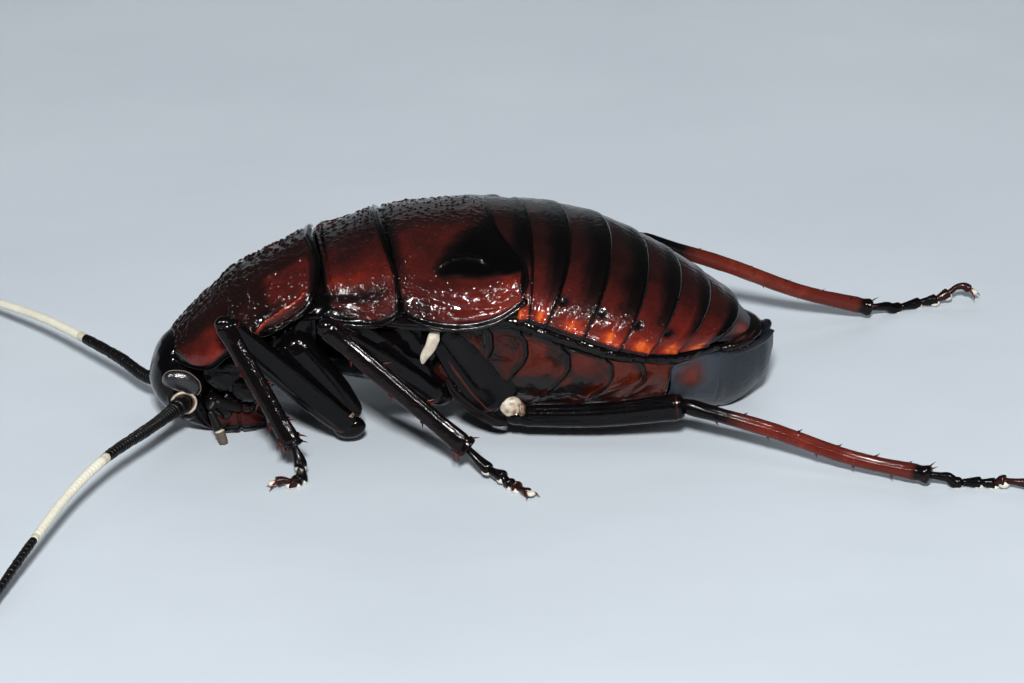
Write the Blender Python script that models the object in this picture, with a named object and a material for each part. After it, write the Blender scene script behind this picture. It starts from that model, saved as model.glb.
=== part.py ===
"""A large wingless cockroach standing still: one closed solid for every part a person names.

Lengths are in millimetres until the last step, which writes metres. Plus X is the tail, minus Y the
animal's left side, plus Z up, and the floor is z = 0.
"""

import math
import random

import bmesh
import bpy
import numpy as np
from mathutils import Vector

MM = 0.001
ORIGIN = (-1.51, 0.95, 0.0)
GAP = 0.30
SEED = 7

ARCH_STEPS = 20
PRONOTUM_PITCH = 39.4
PRONOTUM_LENGTH = 11.0
HEAD_PITCH = -55.0
ANTENNA_BASE = 12.0
ANTENNA_BAND = 13.3
ANTENNA_TIP = 10.6
FOOT_SINK = 0.06
SPIKE_HINT = (0.31, 0.52, 0.77)

BLACK = (0.012, 0.009, 0.009)
MAHOGANY = (0.13, 0.012, 0.006)
RED = (0.30, 0.030, 0.010)
REDBROWN = (0.22, 0.035, 0.018)
CREAM = (0.82, 0.78, 0.64)

random.seed(SEED)


def clear_scene():
    for obj in list(bpy.data.objects):
        bpy.data.objects.remove(obj, do_unlink=True)


def material(name, colour, rough=0.25):
    mat = bpy.data.materials.new(name)
    mat.use_nodes = True
    shader = mat.node_tree.nodes["Principled BSDF"]
    shader.inputs["Base Color"].default_value = (*colour, 1.0)
    shader.inputs["Roughness"].default_value = rough
    return mat


def table(rows):
    """A smooth function of the first column that gives the other columns, through every row."""
    rows = np.array(rows, float)
    xs, ys = rows[:, 0], rows[:, 1:]
    slopes = np.gradient(ys, xs, axis=0)

    def at(x):
        x = min(max(x, xs[0]), xs[-1])
        i = min(max(int(np.searchsorted(xs, x)) - 1, 0), len(xs) - 2)
        h = xs[i + 1] - xs[i]
        t = (x - xs[i]) / h
        a = (1 + 2 * t) * (1 - t) ** 2
        b = t * (1 - t) ** 2
        c = t * t * (3 - 2 * t)
        d = t * t * (t - 1)
        return a * ys[i] + b * h * slopes[i] + c * ys[i + 1] + d * h * slopes[i + 1]

    return at


def shape(name, verts, faces, colour, rough=0.25):
    """One object from points in millimetres, its faces turned outwards."""
    mesh = bpy.data.meshes.new(name)
    bm = bmesh.new()
    made = [bm.verts.new([(c + o) * MM for c, o in zip(v, ORIGIN)]) for v in verts]
    for face in faces:
        bm.faces.new([made[i] for i in face])
    bmesh.ops.recalc_face_normals(bm, faces=bm.faces)
    bm.to_mesh(mesh)
    bm.free()
    mesh.materials.append(material(name, colour, rough))
    mesh.shade_smooth()
    obj = bpy.data.objects.new(name, mesh)
    bpy.context.scene.collection.objects.link(obj)
    return obj


def loft(name, rings, colour, rough=0.25):
    """Closed rings of the same count joined in order, with a flat cap at each end."""
    count = len(rings[0])
    verts = [p for ring in rings for p in ring]
    faces = []
    for r in range(len(rings) - 1):
        for i in range(count):
            j = (i + 1) % count
            faces.append((r * count + i, r * count + j, (r + 1) * count + j, (r + 1) * count + i))
    faces.append(tuple(range(count - 1, -1, -1)))
    faces.append(tuple((len(rings) - 1) * count + i for i in range(count)))
    return shape(name, verts, faces, colour, rough)


def smooth_path(points, count):
    """Evenly spaced points on a smooth curve through the given ones."""
    points = [np.array(p, float) for p in points]
    if len(points) == 2:
        return [points[0] + (points[1] - points[0]) * i / (count - 1) for i in range(count)]
    ends = [2 * points[0] - points[1]] + points + [2 * points[-1] - points[-2]]
    fine = []
    for k in range(1, len(ends) - 2):
        a, b, c, d = ends[k - 1 : k + 3]
        for i in range(24):
            t = i / 24
            fine.append(
                0.5
                * (
                    2 * b
                    + (c - a) * t
                    + (2 * a - 5 * b + 4 * c - d) * t * t
                    + (3 * b - a - 3 * c + d) * t**3
                )
            )
    fine.append(points[-1])
    fine = np.array(fine)
    run = np.concatenate([[0], np.cumsum(np.linalg.norm(np.diff(fine, axis=0), axis=1))])
    want = np.linspace(0, run[-1], count)
    return [np.array([np.interp(w, run, fine[:, k]) for k in range(3)]) for w in want]


def tube_rings(path, wide, thick, sides, side_hint):
    """Elliptical rings along a path: wide and thick are half sizes per point, thick lies along side_hint."""
    rings = []
    hint = np.array(side_hint, float)
    for i, point in enumerate(path):
        ahead = path[min(i + 1, len(path) - 1)] - path[max(i - 1, 0)]
        ahead = ahead / np.linalg.norm(ahead)
        flat = hint - ahead * hint.dot(ahead)
        flat = flat / np.linalg.norm(flat)
        broad = np.cross(ahead, flat)
        rings.append(
            [
                point
                + broad * wide[i] * math.cos(2 * math.pi * k / sides)
                + flat * thick[i] * math.sin(2 * math.pi * k / sides)
                for k in range(sides)
            ]
        )
    return rings


def tube(name, path, wide, thick, colour, sides=10, side_hint=(0, 1, 0), rough=0.25):
    return loft(name, tube_rings(path, wide, thick, sides, side_hint), colour, rough)


def arch(half, rise, steps=ARCH_STEPS, side_power=2.05, top_power=2.0):
    """The outline of a domed plate from its right edge over the top to its left edge."""
    out = []
    for i in range(steps + 1):
        t = math.pi * i / steps
        y = half * math.copysign(abs(math.cos(t)) ** (2 / side_power), math.cos(t))
        out.append((y, rise * abs(math.sin(t)) ** (2 / top_power)))
    return out


def section(edge, top, half, steps=ARCH_STEPS, side_power=2.05, top_power=2.0):
    """A domed outline in space: edge and top are (x, z) of its side edge and of its midline."""
    rise = math.hypot(top[0] - edge[0], top[1] - edge[1])
    up = ((top[0] - edge[0]) / rise, (top[1] - edge[1]) / rise)
    return [
        np.array([edge[0] + up[0] * h, y, edge[1] + up[1] * h])
        for y, h in arch(half, rise, steps, side_power, top_power)
    ]


def rounded(value, power):
    return math.copysign(abs(value) ** power, value)


def between(a, b, t):
    return tuple(p + (q - p) * t for p, q in zip(a, b))


def baked(obj):
    """The object with its modifiers applied."""
    graph = bpy.context.evaluated_depsgraph_get()
    mesh = bpy.data.meshes.new_from_object(obj.evaluated_get(graph))
    old = obj.data
    obj.modifiers.clear()
    obj.data = mesh
    bpy.data.meshes.remove(old)


def keep_largest(obj):
    """Drops every loose shell but the one with the greatest volume."""
    bm = bmesh.new()
    bm.from_mesh(obj.data)
    bm.verts.ensure_lookup_table()
    left = set(bm.verts)
    shells = []
    while left:
        queue = [left.pop()]
        shell = set(queue)
        while queue:
            vert = queue.pop()
            for edge in vert.link_edges:
                other = edge.other_vert(vert)
                if other in left:
                    left.remove(other)
                    shell.add(other)
                    queue.append(other)
        shells.append(shell)
    if len(shells) > 1:

        def volume(shell):
            total = 0.0
            for face in {f for v in shell for f in v.link_faces}:
                first = face.verts[0].co
                for k in range(1, len(face.verts) - 1):
                    total += first.dot(face.verts[k].co.cross(face.verts[k + 1].co))
            return total

        best = max(shells, key=volume)
        bmesh.ops.delete(bm, geom=[v for v in bm.verts if v not in best], context="VERTS")
    bmesh.ops.triangulate(bm, faces=bm.faces)
    bm.to_mesh(obj.data)
    bm.free()
    obj.data.shade_smooth()


def grown(obj, by):
    """A helper copy of the object with its surface moved outwards."""
    mesh = obj.data.copy()
    bm = bmesh.new()
    bm.from_mesh(mesh)
    bm.normal_update()
    moves = [v.normal * by * MM * min(v.calc_shell_factor(), 1.6) for v in bm.verts]
    for vert, move in zip(bm.verts, moves):
        vert.co += move
    bm.to_mesh(mesh)
    bm.free()
    copy = bpy.data.objects.new(obj.name + "_cutter", mesh)
    bpy.context.scene.collection.objects.link(copy)
    copy.hide_render = True
    copy.display_type = "WIRE"
    return copy


def combine(obj, other, operation):
    modifier = obj.modifiers.new("cut", "BOOLEAN")
    modifier.operation = operation
    modifier.solver = "MANIFOLD"
    modifier.object = other
    baked(obj)
    bpy.data.objects.remove(other, do_unlink=True)


def carve(obj, others, gap=GAP):
    """Cuts each neighbour, grown by the gap, from the object."""
    for other in others:
        combine(obj, grown(other, gap), "DIFFERENCE")
    keep_largest(obj)


def spined(obj, spikes, sides=5):
    """Joins tapered spikes, each (root, point, half width), into the object as one surface."""
    for n, (root, point, half) in enumerate(spikes):
        root, point = np.array(root, float), np.array(point, float)
        along = (point - root) / np.linalg.norm(point - root)
        start = root - along * 0.25
        path = [start, root + (point - root) * 0.45, point]
        width = [half, half * 0.7, half * 0.15]
        rings = tube_rings(path, width, width, sides, SPIKE_HINT)
        spike = loft("spike", rings, BLACK)
        combine(obj, spike, "UNION")
    keep_largest(obj)


def to_floor(obj):
    """Presses what would reach below the floor into a small flat on it."""
    for vert in obj.data.vertices:
        vert.co.z = max(vert.co.z, 0.0)


clear_scene()

# Abdomen. Each hind margin: side edge x, z, half width, midline x, z.
METANOTUM_HIND = (3.35, 10.50, 9.6, 2.35, 14.47)
HIND_MARGINS = (
    (3.85, 9.95, 9.7, 4.72, 14.10),
    (4.85, 9.10, 10.2, 7.45, 13.52),
    (7.25, 8.13, 10.3, 10.20, 12.67),
    (9.70, 7.10, 10.0, 12.68, 11.35),
    (11.70, 6.45, 9.3, 14.89, 9.98),
    (13.60, 6.05, 8.1, 16.90, 8.50),
    (16.00, 5.98, 6.2, 18.85, 6.92),
)

before = METANOTUM_HIND
for n, hind in enumerate(HIND_MARGINS, 1):
    reach_side = math.hypot(hind[0] - before[0], hind[1] - before[1])
    reach_top = math.hypot(hind[3] - before[3], hind[4] - before[4])
    side = between(before[:2], hind[:2], GAP / reach_side)
    top = between(before[3:], hind[3:], GAP / reach_top)
    half = before[2] + (hind[2] - before[2]) * GAP / reach_side
    rings = []
    for k in range(3):
        t = k / 2
        edge_at, top_at = between(side, hind[:2], t), between(top, hind[3:], t)
        rings.append(section(edge_at, top_at, half + (hind[2] - half) * t))
    loft(f"tergite_{n}", rings, MAHOGANY if n < 3 else RED)
    before = hind


def hull_ring(x_top, z_top, half, x_low, z_low, steps=ARCH_STEPS, power=2.0):
    """A boat section below the side edges: its deck at z_top and its keel at z_low."""
    depth = math.hypot(x_low - x_top, z_low - z_top)
    down = ((x_low - x_top) / depth, (z_low - z_top) / depth)
    return [
        np.array([x_top + down[0] * h, y, z_top + down[1] * h])
        for y, h in arch(half, depth, steps, power, 2.2)
    ]


# Each hind edge: deck x, z, half width, keel x, z.
STERNITE_MARGINS = (
    (1.60, 8.90, 7.6, 0.10, 2.10),
    (3.75, 8.60, 9.2, 2.40, 1.60),
    (6.45, 7.60, 9.8, 5.30, 1.30),
    (9.30, 6.50, 9.6, 8.30, 1.15),
    (11.50, 6.00, 8.9, 10.70, 1.10),
    (13.40, 5.40, 7.9, 12.90, 1.00),
)
for n in range(1, len(STERNITE_MARGINS)):
    a, b = STERNITE_MARGINS[n - 1], STERNITE_MARGINS[n]
    start = between(a, b, GAP / (b[0] - a[0]))
    rings = [hull_ring(*between(start, b, k / 2)) for k in range(3)]
    loft(f"sternite_{n + 1}", rings, RED if n > 1 else MAHOGANY)

# x, half width, deck z, keel z
SUBGENITAL = table(
    (
        (13.70, 7.50, 5.15, 0.95),
        (15.50, 6.45, 5.20, 0.35),
        (17.00, 5.30, 4.95, -0.06),
        (18.50, 4.15, 4.75, 0.08),
        (19.90, 2.90, 4.75, 0.95),
        (20.80, 1.75, 4.80, 2.00),
        (21.25, 0.70, 4.85, 3.45),
    )
)
rings = []
for x in (13.70, 14.6, 15.50, 16.3, 17.00, 17.8, 18.50, 19.3, 19.90, 20.4, 20.80, 21.25):
    half, deck, keel = SUBGENITAL(x)
    rings.append(hull_ring(x, deck, half, x - 0.05, keel))
subgenital = loft("subgenital_plate", rings, BLACK)
to_floor(subgenital)

# edge x, z, half width, midline x, z
SUPRA_ANAL = (
    (17.05, 5.75, 4.90, 19.15, 6.85),
    (18.50, 5.45, 3.30, 19.80, 5.95),
    (19.90, 5.20, 1.90, 20.35, 5.62),
    (20.85, 5.15, 0.95, 21.00, 5.60),
)
loft("supra_anal_plate", [section(r[:2], r[3:], r[2]) for r in SUPRA_ANAL], BLACK)

for side, name in ((-1, "left"), (1, "right")):
    path = smooth_path([(16.95, side * 5.2, 5.25), (18.2, side * 4.6, 5.2), (19.5, side * 3.7, 5.3)], 6)
    width = [0.34, 0.38, 0.38, 0.34, 0.28, 0.12]
    tube(f"cercus_{name}", path, width, [w * 0.8 for w in width], BLACK, 8)

# Thorax. Each row: edge x, z, half width, midline x, z.
MESONOTUM = (
    (-9.40, 10.10, 8.0, -9.55, 12.40),
    (-8.10, 9.50, 8.5, -8.40, 13.02),
    (-6.60, 9.25, 8.8, -6.90, 13.62),
    (-5.50, 9.40, 9.0, -6.00, 13.92),
    (-4.60, 10.00, 9.0, -5.20, 14.10),
)
METANOTUM = (
    (-4.25, 9.85, 9.0, -4.85, 14.15),
    (-2.60, 9.25, 9.6, -3.10, 14.34),
    (-0.67, 9.00, 10.0, -1.10, 14.48),
    (1.40, 9.35, 10.0, 0.80, 14.52),
    METANOTUM_HIND,
)
for name, rows in (("mesonotum", MESONOTUM), ("metanotum", METANOTUM)):
    loft(name, [section(r[:2], r[3:], r[2]) for r in rows], MAHOGANY)

# The pronotum's own frame starts at the front of its midline and climbs backwards.
PRONOTUM_FRONT = (-19.80, 6.60)
PRONOTUM = table(
    (
        (0.00, 2.60, 0.60, -0.40),
        (0.80, 4.20, 1.60, -0.20),
        (1.60, 5.15, 2.25, -0.12),
        (3.20, 5.95, 2.35, -0.05),
        (5.40, 6.80, 2.50, 0.00),
        (8.00, 7.40, 2.60, -0.12),
        (11.00, 7.60, 2.45, -0.40),
    )
)


def pronotum_point(s, y, h):
    c, d = math.cos(math.radians(PRONOTUM_PITCH)), math.sin(math.radians(PRONOTUM_PITCH))
    return np.array([PRONOTUM_FRONT[0] + s * c - h * d, y, PRONOTUM_FRONT[1] + s * d + h * c])


rings = []
for s in (0.0, 0.4, 0.8, 1.6, 3.2, 5.4, 8.0, PRONOTUM_LENGTH):
    half, drop, lift = PRONOTUM(s)
    rings.append([pronotum_point(s, y, h - drop + lift) for y, h in arch(half, drop, ARCH_STEPS, 2.25, 2.05)])
pronotum = loft("pronotum", rings, MAHOGANY)

# Undersides: x, deck z, half width above, keel z, half width at mid height.
PTEROTHORAX = (
    (-9.60, 9.60, 6.4, 3.6),
    (-6.60, 9.55, 7.4, 3.0),
    (-3.40, 8.90, 7.8, 2.4),
    (-0.60, 8.40, 7.6, 2.1),
    (1.20, 8.70, 7.2, 2.1),
)
rings = [hull_ring(x, top, half, x, low, ARCH_STEPS, 1.35) for x, top, half, low in PTEROTHORAX]
pterothorax = loft("pterothorax", rings, BLACK)
PROTHORAX = ((-17.2, 5.3, 2.8, 2.2), (-14.8, 6.5, 4.4, 2.2), (-12.4, 8.2, 5.6, 2.9), (-9.9, 9.9, 6.2, 3.4))
rings = [hull_ring(x, top, half, x, low, ARCH_STEPS, 1.5) for x, top, half, low in PROTHORAX]
prothorax = loft("prothorax", rings, BLACK)

# Head, in a frame that runs from the crown down and back to the mouth.
HEAD_START = (-18.0, 5.0)
# along, face side, back side, half width
HEAD = table(
    (
        (-2.20, 0.85, -0.60, 1.00),
        (-2.00, 1.35, -1.10, 1.85),
        (-1.60, 2.00, -1.40, 2.45),
        (-0.83, 2.90, -1.55, 2.95),
        (0.23, 3.38, -1.20, 3.15),
        (1.30, 3.38, -0.55, 3.05),
        (2.64, 3.02, 0.45, 2.60),
        (3.89, 2.32, 1.20, 1.85),
        (4.65, 1.85, 1.45, 1.10),
    )
)


def head_point(along, y, out):
    c, d = math.cos(math.radians(HEAD_PITCH)), math.sin(math.radians(HEAD_PITCH))
    return np.array([HEAD_START[0] + along * c + out * d, y, HEAD_START[1] + along * d - out * c])


def head_ring(along, steps=22):
    face, back, half = HEAD(along)
    middle, deep = (face + back) / 2, (face - back) / 2
    ring = []
    for k in range(steps):
        t = 2 * math.pi * k / steps
        y = half * rounded(math.sin(t), 0.9)
        out = middle + deep * rounded(math.cos(t), 0.9)
        ring.append(head_point(along, y, out))
    return ring


HEAD_STEPS = (-2.2, -2.0, -1.75, -1.35, -0.8, -0.1, 0.6, 1.3, 2.0, 2.64, 3.3, 3.89, 4.65)
head = loft("head", [head_ring(along) for along in HEAD_STEPS], BLACK)

# The eye: a bean outline on the side of the head. Along, out and half width of the bean at each step.
EYE_SPINE = ((-0.62, 2.05), (-0.42, 1.38), (0.15, 0.86), (0.85, 0.70), (1.42, 0.78))
EYE_HALF = (0.32, 0.60, 0.70, 0.64, 0.34)
eyes = {}
for side, name in ((-1, "left"), (1, "right")):
    path = []
    for along, out in EYE_SPINE:
        face, back, half = HEAD(along)
        middle, deep = (face + back) / 2, (face - back) / 2
        cover = max(0.0, 1 - abs((out - middle) / deep) ** 2.2) ** (1 / 2.2)
        path.append(head_point(along, side * (half * cover - 0.02), out))
    path = smooth_path(path, 9)
    half = [float(np.interp(i / 8, np.linspace(0, 1, 5), EYE_HALF)) for i in range(9)]
    hint = (-0.25, side * 0.95, 0.1)
    eyes[name] = tube(f"eye_{name}", path, half, [min(h * 0.75, 0.42) for h in half], BLACK, 10, hint, 0.15)
carve(head, list(eyes.values()), 0.2)

# x, half width, half depth
MOUTH = ((-16.75, 1.9, 1.2), (-16.0, 2.45, 1.6), (-15.0, 2.5, 1.65), (-14.1, 2.1, 1.35), (-13.2, 1.2, 0.8))
MOUTH_BOTTOM = 0.10
MOUTH_SIDES = 16
rings = []
for x, half, deep in MOUTH:
    turns = [2 * math.pi * k / MOUTH_SIDES for k in range(MOUTH_SIDES)]
    rings.append(
        [
            np.array([x, half * sine, MOUTH_BOTTOM + deep * (1 + cosine)])
            for sine, cosine in [(rounded(math.sin(t), 0.6), rounded(math.cos(t), 0.6)) for t in turns]
        ]
    )
mouth = loft("mouthparts", rings, MAHOGANY)
carve(mouth, [head])

# Feelers, from the socket outwards. Left is the near one.
ANTENNA_LEFT = (
    (-18.60, -3.05, 2.95),
    (-21.17, -7.80, 2.85),
    (-24.18, -13.32, 2.90),
    (-26.74, -18.80, 2.50),
    (-29.27, -26.10, 2.00),
    (-31.40, -32.30, 1.35),
    (-32.40, -35.60, 0.90),
)
ANTENNA_RIGHT = (
    (-18.60, 3.05, 2.95),
    (-20.73, 4.50, 2.30),
    (-22.63, 8.00, 2.67),
    (-24.69, 12.30, 2.70),
    (-27.54, 18.40, 2.47),
    (-30.62, 24.50, 1.90),
    (-33.20, 29.60, 1.30),
    (-35.20, 33.60, 0.90),
)
# Run from the socket, half width.
ANTENNA_HALF = table(
    ((0, 0.44), (1.2, 0.42), (2.4, 0.36), (12.0, 0.31), (25.0, 0.27), (33.0, 0.25), (36.5, 0.13))
)
BAND_END = ANTENNA_BASE + ANTENNA_BAND
PIECES = (
    ("base", 0.35, ANTENNA_BASE, BLACK),
    ("band", ANTENNA_BASE + GAP, BAND_END, CREAM),
    ("tip", BAND_END + GAP, BAND_END + ANTENNA_TIP, BLACK),
)
for name, points in (("left", ANTENNA_LEFT), ("right", ANTENNA_RIGHT)):
    fine = smooth_path(points, 400)
    steps = [np.linalg.norm(b - a) for a, b in zip(fine, fine[1:])]
    run = np.concatenate([[0], np.cumsum(steps)])
    for piece, start, end, colour in PIECES:
        end = min(end, run[-1])
        spots = np.linspace(start, end, 9)
        path = [np.array([np.interp(s, run, [p[k] for p in fine]) for k in range(3)]) for s in spots]
        half = [float(ANTENNA_HALF(s)[0]) for s in spots]
        made = tube(f"antenna_{piece}_{name}", path, half, half, colour, 8)
        if piece == "base":
            carve(made, [head], 0.25)

# Feelers of the mouth: elbowed, the last segment on the floor.
PALP = ((-14.9, 2.9, 2.2), (-16.9, 3.5, 3.0), (-17.05, 3.7, 2.3), (-16.65, 3.8, 1.25), (-16.2, 3.9, 0.28))
for side, name in ((-1, "left"), (1, "right")):
    path = smooth_path([(x, side * y, z) for x, y, z in PALP], 14)
    half = [0.30] * 11 + [0.38, 0.40, 0.30]
    palp = tube(f"palp_{name}", path, half, half, BLACK, 8)
    to_floor(palp)
    carve(palp, [mouth, head], 0.2)
    for vert in palp.data.vertices:
        if vert.co.z < 0.09 * MM:
            vert.co.z = 0.0

# Legs. Joints from the body outwards; the right ones are the far side.
LEGS = {
    "front_left": {
        "coxa": ((-12.0, -5.9, 7.9), (-7.55, -4.95, 1.45)),
        "knee": (-16.06, -9.4, 10.19),
        "hip": (-7.65, -5.5, 1.20),
        "ankle": (-11.90, -11.66, 2.2),
        "foot": (
            (-11.60, -11.95, 1.35),
            (-11.62, -12.6, 0.62),
            (-12.2, -13.3, 0.45),
            (-12.8, -13.3, 0.60),
            (-13.3, -13.35, 0.50),
        ),
        "down": (7, 11),
    },
    "mid_left": {
        "coxa": ((-5.6, -6.5, 8.1), (-1.75, -5.3, 3.35)),
        "knee": (-9.50, -11.3, 10.2),
        "hip": (-1.65, -5.5, 3.05),
        "ankle": (-0.58, -13.22, 1.9),
        "foot": ((0.48, -14.4, 1.0), (1.61, -15.65, 0.62), (2.45, -17.2, 0.45), (2.85, -18.05, 0.40)),
        "down": (9, 14),
    },
    "hind_left": {
        "coxa": ((-0.55, -7.0, 7.6), (2.45, -7.4, 2.95)),
        "knee": (14.13, -10.0, 2.97),
        "hip": (2.95, -7.6, 2.15),
        "ankle": (28.70, -20.8, 0.95),
        "foot": ((30.6, -20.75, 0.58), (32.4, -21.2, 0.50), (33.5, -21.8, 0.62), (34.7, -22.4, 0.60)),
        "down": (4, 10),
    },
    "front_right": {
        "coxa": ((-12.0, 5.9, 7.9), (-8.6, 4.9, 1.9)),
        "knee": (-15.6, 9.2, 5.9),
        "hip": (-8.7, 5.4, 1.5),
        "ankle": (-10.9, 12.6, 2.0),
        "foot": ((-10.1, 13.3, 1.2), (-9.3, 14.4, 0.65), (-8.7, 15.5, 0.45), (-8.3, 16.4, 0.40)),
        "down": (9, 14),
    },
    "mid_right": {
        "coxa": ((-5.6, 6.5, 8.1), (-2.2, 5.4, 3.5)),
        "knee": (-8.2, 10.8, 7.4),
        "hip": (-2.1, 5.6, 3.2),
        "ankle": (1.2, 13.6, 1.9),
        "foot": ((2.2, 14.3, 1.15), (3.1, 15.3, 0.75), (4.0, 16.4, 0.5), (4.8, 17.4, 0.40)),
        "down": (9, 14),
    },
    "hind_right": {
        "coxa": ((-0.55, 7.0, 7.6), (2.45, 7.4, 2.95)),
        "knee": (13.3, 12.6, 8.15),
        "hip": (2.85, 7.6, 2.4),
        "ankle": (30.42, 15.2, 0.87),
        "foot": (
            (31.7, 16.2, 0.60),
            (32.9, 16.8, 0.40),
            (34.3, 17.4, 0.38),
            (35.4, 17.3, 0.60),
            (36.4, 17.6, 0.98),
            (37.2, 17.9, 1.30),
            (37.9, 17.6, 1.00),
        ),
        "down": (4, 7),
    },
}
# Half sizes, wide then thick, of each segment, the foot's half width, and how far the shin sags.
SIZES = {
    "front": {"coxa": (1.50, 1.05), "femur": (0.95, 0.62), "tibia": (0.62, 0.46), "foot": 0.44, "sag": 0.0},
    "mid": {"coxa": (1.40, 0.95), "femur": (0.85, 0.62), "tibia": (0.64, 0.46), "foot": 0.42, "sag": 0.0},
    "hind": {"coxa": (1.95, 0.90), "femur": (0.80, 0.72), "tibia": (0.50, 0.48), "foot": 0.40, "sag": -0.35},
}


SPIKE_PLACES = {
    "front": (0.55, 0.78, 0.93),
    "mid": (0.32, 0.62, 0.93),
    "hind": (0.22, 0.42, 0.62, 0.80, 0.95),
}
SPIKE_LENGTH = 0.70


def beads(count, thin=0.82):
    """Half width along a foot of five short segments."""
    return [thin + (1 - thin) * abs(math.sin(math.pi * 4.5 * i / (count - 1))) for i in range(count)]


for leg, joints in LEGS.items():
    pair = leg.split("_")[0]
    side = -1 if leg.endswith("left") else 1
    size = SIZES[pair]
    hint = (0.0, side, 0.15)
    top, low = np.array(joints["coxa"][0]), np.array(joints["coxa"][1])
    path = [top + (low - top) * t for t in (0, 0.15, 0.4, 0.7, 0.9, 1.0)]
    swell = (0.62, 0.88, 1.0, 0.92, 0.66, 0.42)
    wide, thick = size["coxa"]
    coxa = tube(f"coxa_{leg}", path, [wide * s for s in swell], [thick * s for s in swell], BLACK, 12, hint)

    hip, knee, ankle = (np.array(joints[k], float) for k in ("hip", "knee", "ankle"))
    path = smooth_path([hip, (hip + knee) / 2, knee - (knee - hip) * 0.02], 8)
    swell = (0.62, 0.88, 1.0, 1.0, 0.95, 0.92, 0.86, 0.60)
    wide, thick = size["femur"]
    femur = tube(f"femur_{leg}", path, [wide * s for s in swell], [thick * s for s in swell], BLACK, 10, hint)
    carve(femur, [coxa], 0.25)

    path = [knee + (ankle - knee) * t for t in (0.01, 0.35, 0.68, 1.0)]
    path[2][2] += size["sag"]
    path = smooth_path(path, 7)
    swell = (0.85, 1.05, 1.0, 0.96, 0.96, 0.98, 1.0)
    wide, thick = size["tibia"]
    tibia = tube(
        f"tibia_{leg}",
        path,
        [wide * s for s in swell],
        [thick * s for s in swell],
        REDBROWN if pair == "hind" else BLACK,
        8,
        hint,
    )
    spikes = []
    along = (ankle - knee) / np.linalg.norm(ankle - knee)
    across = np.cross(along, np.array(hint, float))
    across = across / np.linalg.norm(across)
    outward = np.cross(along, across)
    for n, t in enumerate(SPIKE_PLACES[pair]):
        spot = np.array([np.interp(t, np.linspace(0, 1, 7), [p[k] for p in path]) for k in range(3)])
        for turn in (20 + 12 * n, 200 + 9 * n):
            way = across * math.cos(math.radians(turn)) + outward * math.sin(math.radians(turn))
            root = spot + way * thick * 0.7
            tip = spot + way * (thick + SPIKE_LENGTH * 0.75) + along * SPIKE_LENGTH * 0.7
            if tip[2] > 0.15:
                spikes.append((root, tip, 0.13))
    spined(tibia, spikes)
    carve(tibia, [femur], 0.25)

    path = smooth_path([ankle + along * 0.3] + list(joints["foot"]), 16)
    half = [size["foot"] * b for b in beads(16)]
    half[-1] *= 0.6
    first, last = joints["down"]
    for i in range(first, last + 1):
        path[i][2] = half[i] - FOOT_SINK
    tarsus = tube(f"tarsus_{leg}", path, half, half, BLACK, 8, hint)
    to_floor(tarsus)
    ahead = path[-1] - path[-3]
    ahead = ahead / np.linalg.norm(ahead)
    across = np.array([-ahead[1], ahead[0], 0.0])
    across = across / np.linalg.norm(across)
    claws = []
    for turn in (-1, 1):
        root = path[-1] - ahead * 0.15 + across * turn * 0.08
        tip = root + ahead * 0.62 + across * turn * 0.42
        tip[2] = max(0.08, tip[2] - 0.25)
        claws.append((root, tip, 0.12))
    spined(tarsus, claws)
    to_floor(tarsus)
    carve(tarsus, [tibia], 0.25)

# Each of these gives way to the neighbours named after it.
FRONT_COXAE = ["coxa_front_left", "coxa_front_right"]
MID_COXAE = ["coxa_mid_left", "coxa_mid_right"]
HIND_COXAE = ["coxa_hind_left", "coxa_hind_right"]
HIND_FEMORA = ["femur_hind_left", "femur_hind_right"]
parts = bpy.data.objects
for name, others in (
    ("mouthparts", ["palp_left", "palp_right"]),
    ("pterothorax", FRONT_COXAE + MID_COXAE + HIND_COXAE + ["mesonotum", "metanotum"]),
    ("prothorax", FRONT_COXAE + ["pronotum", "mesonotum", "head", "mouthparts", "pterothorax"]),
    ("sternite_2", HIND_COXAE + HIND_FEMORA + ["metanotum", "tergite_1", "tergite_2", "pterothorax"]),
    ("sternite_3", HIND_COXAE + HIND_FEMORA),
    ("sternite_4", HIND_FEMORA),
    ("sternite_5", HIND_FEMORA),
    ("head", ["pronotum"]),
    ("mesonotum", ["pronotum"]),
    ("subgenital_plate", ["cercus_left", "cercus_right"]),
    ("supra_anal_plate", ["cercus_left", "cercus_right", "tergite_7"]),
):
    carve(parts[name], [parts[o] for o in others], 0.25)
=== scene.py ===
"""The looks of a large wingless cockroach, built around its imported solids.

Lengths are in millimetres in the animal's own frame, until placed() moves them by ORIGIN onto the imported
part's frame, in metres. Plus X is the tail, minus Y the near side (the animal's left), plus Z up; the floor
is z = 0. On a plate u runs from the far edge (0) over the middle (0.5) to the near edge (1), and v from its
front to its hind margin.
"""

import math

import bpy
import numpy as np
from mathutils import Matrix


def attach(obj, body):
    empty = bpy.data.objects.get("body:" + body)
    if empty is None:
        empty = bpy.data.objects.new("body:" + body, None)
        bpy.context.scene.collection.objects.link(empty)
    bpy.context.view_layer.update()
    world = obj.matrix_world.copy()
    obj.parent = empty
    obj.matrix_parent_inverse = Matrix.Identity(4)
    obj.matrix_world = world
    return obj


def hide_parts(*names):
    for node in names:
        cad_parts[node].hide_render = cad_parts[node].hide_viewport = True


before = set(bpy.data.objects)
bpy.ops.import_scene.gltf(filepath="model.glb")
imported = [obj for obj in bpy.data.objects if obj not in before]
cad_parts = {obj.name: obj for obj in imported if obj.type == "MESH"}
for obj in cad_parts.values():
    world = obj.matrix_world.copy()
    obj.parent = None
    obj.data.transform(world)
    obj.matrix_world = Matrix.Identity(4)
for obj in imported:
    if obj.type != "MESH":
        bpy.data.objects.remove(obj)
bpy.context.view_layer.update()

MM = 0.001
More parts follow.
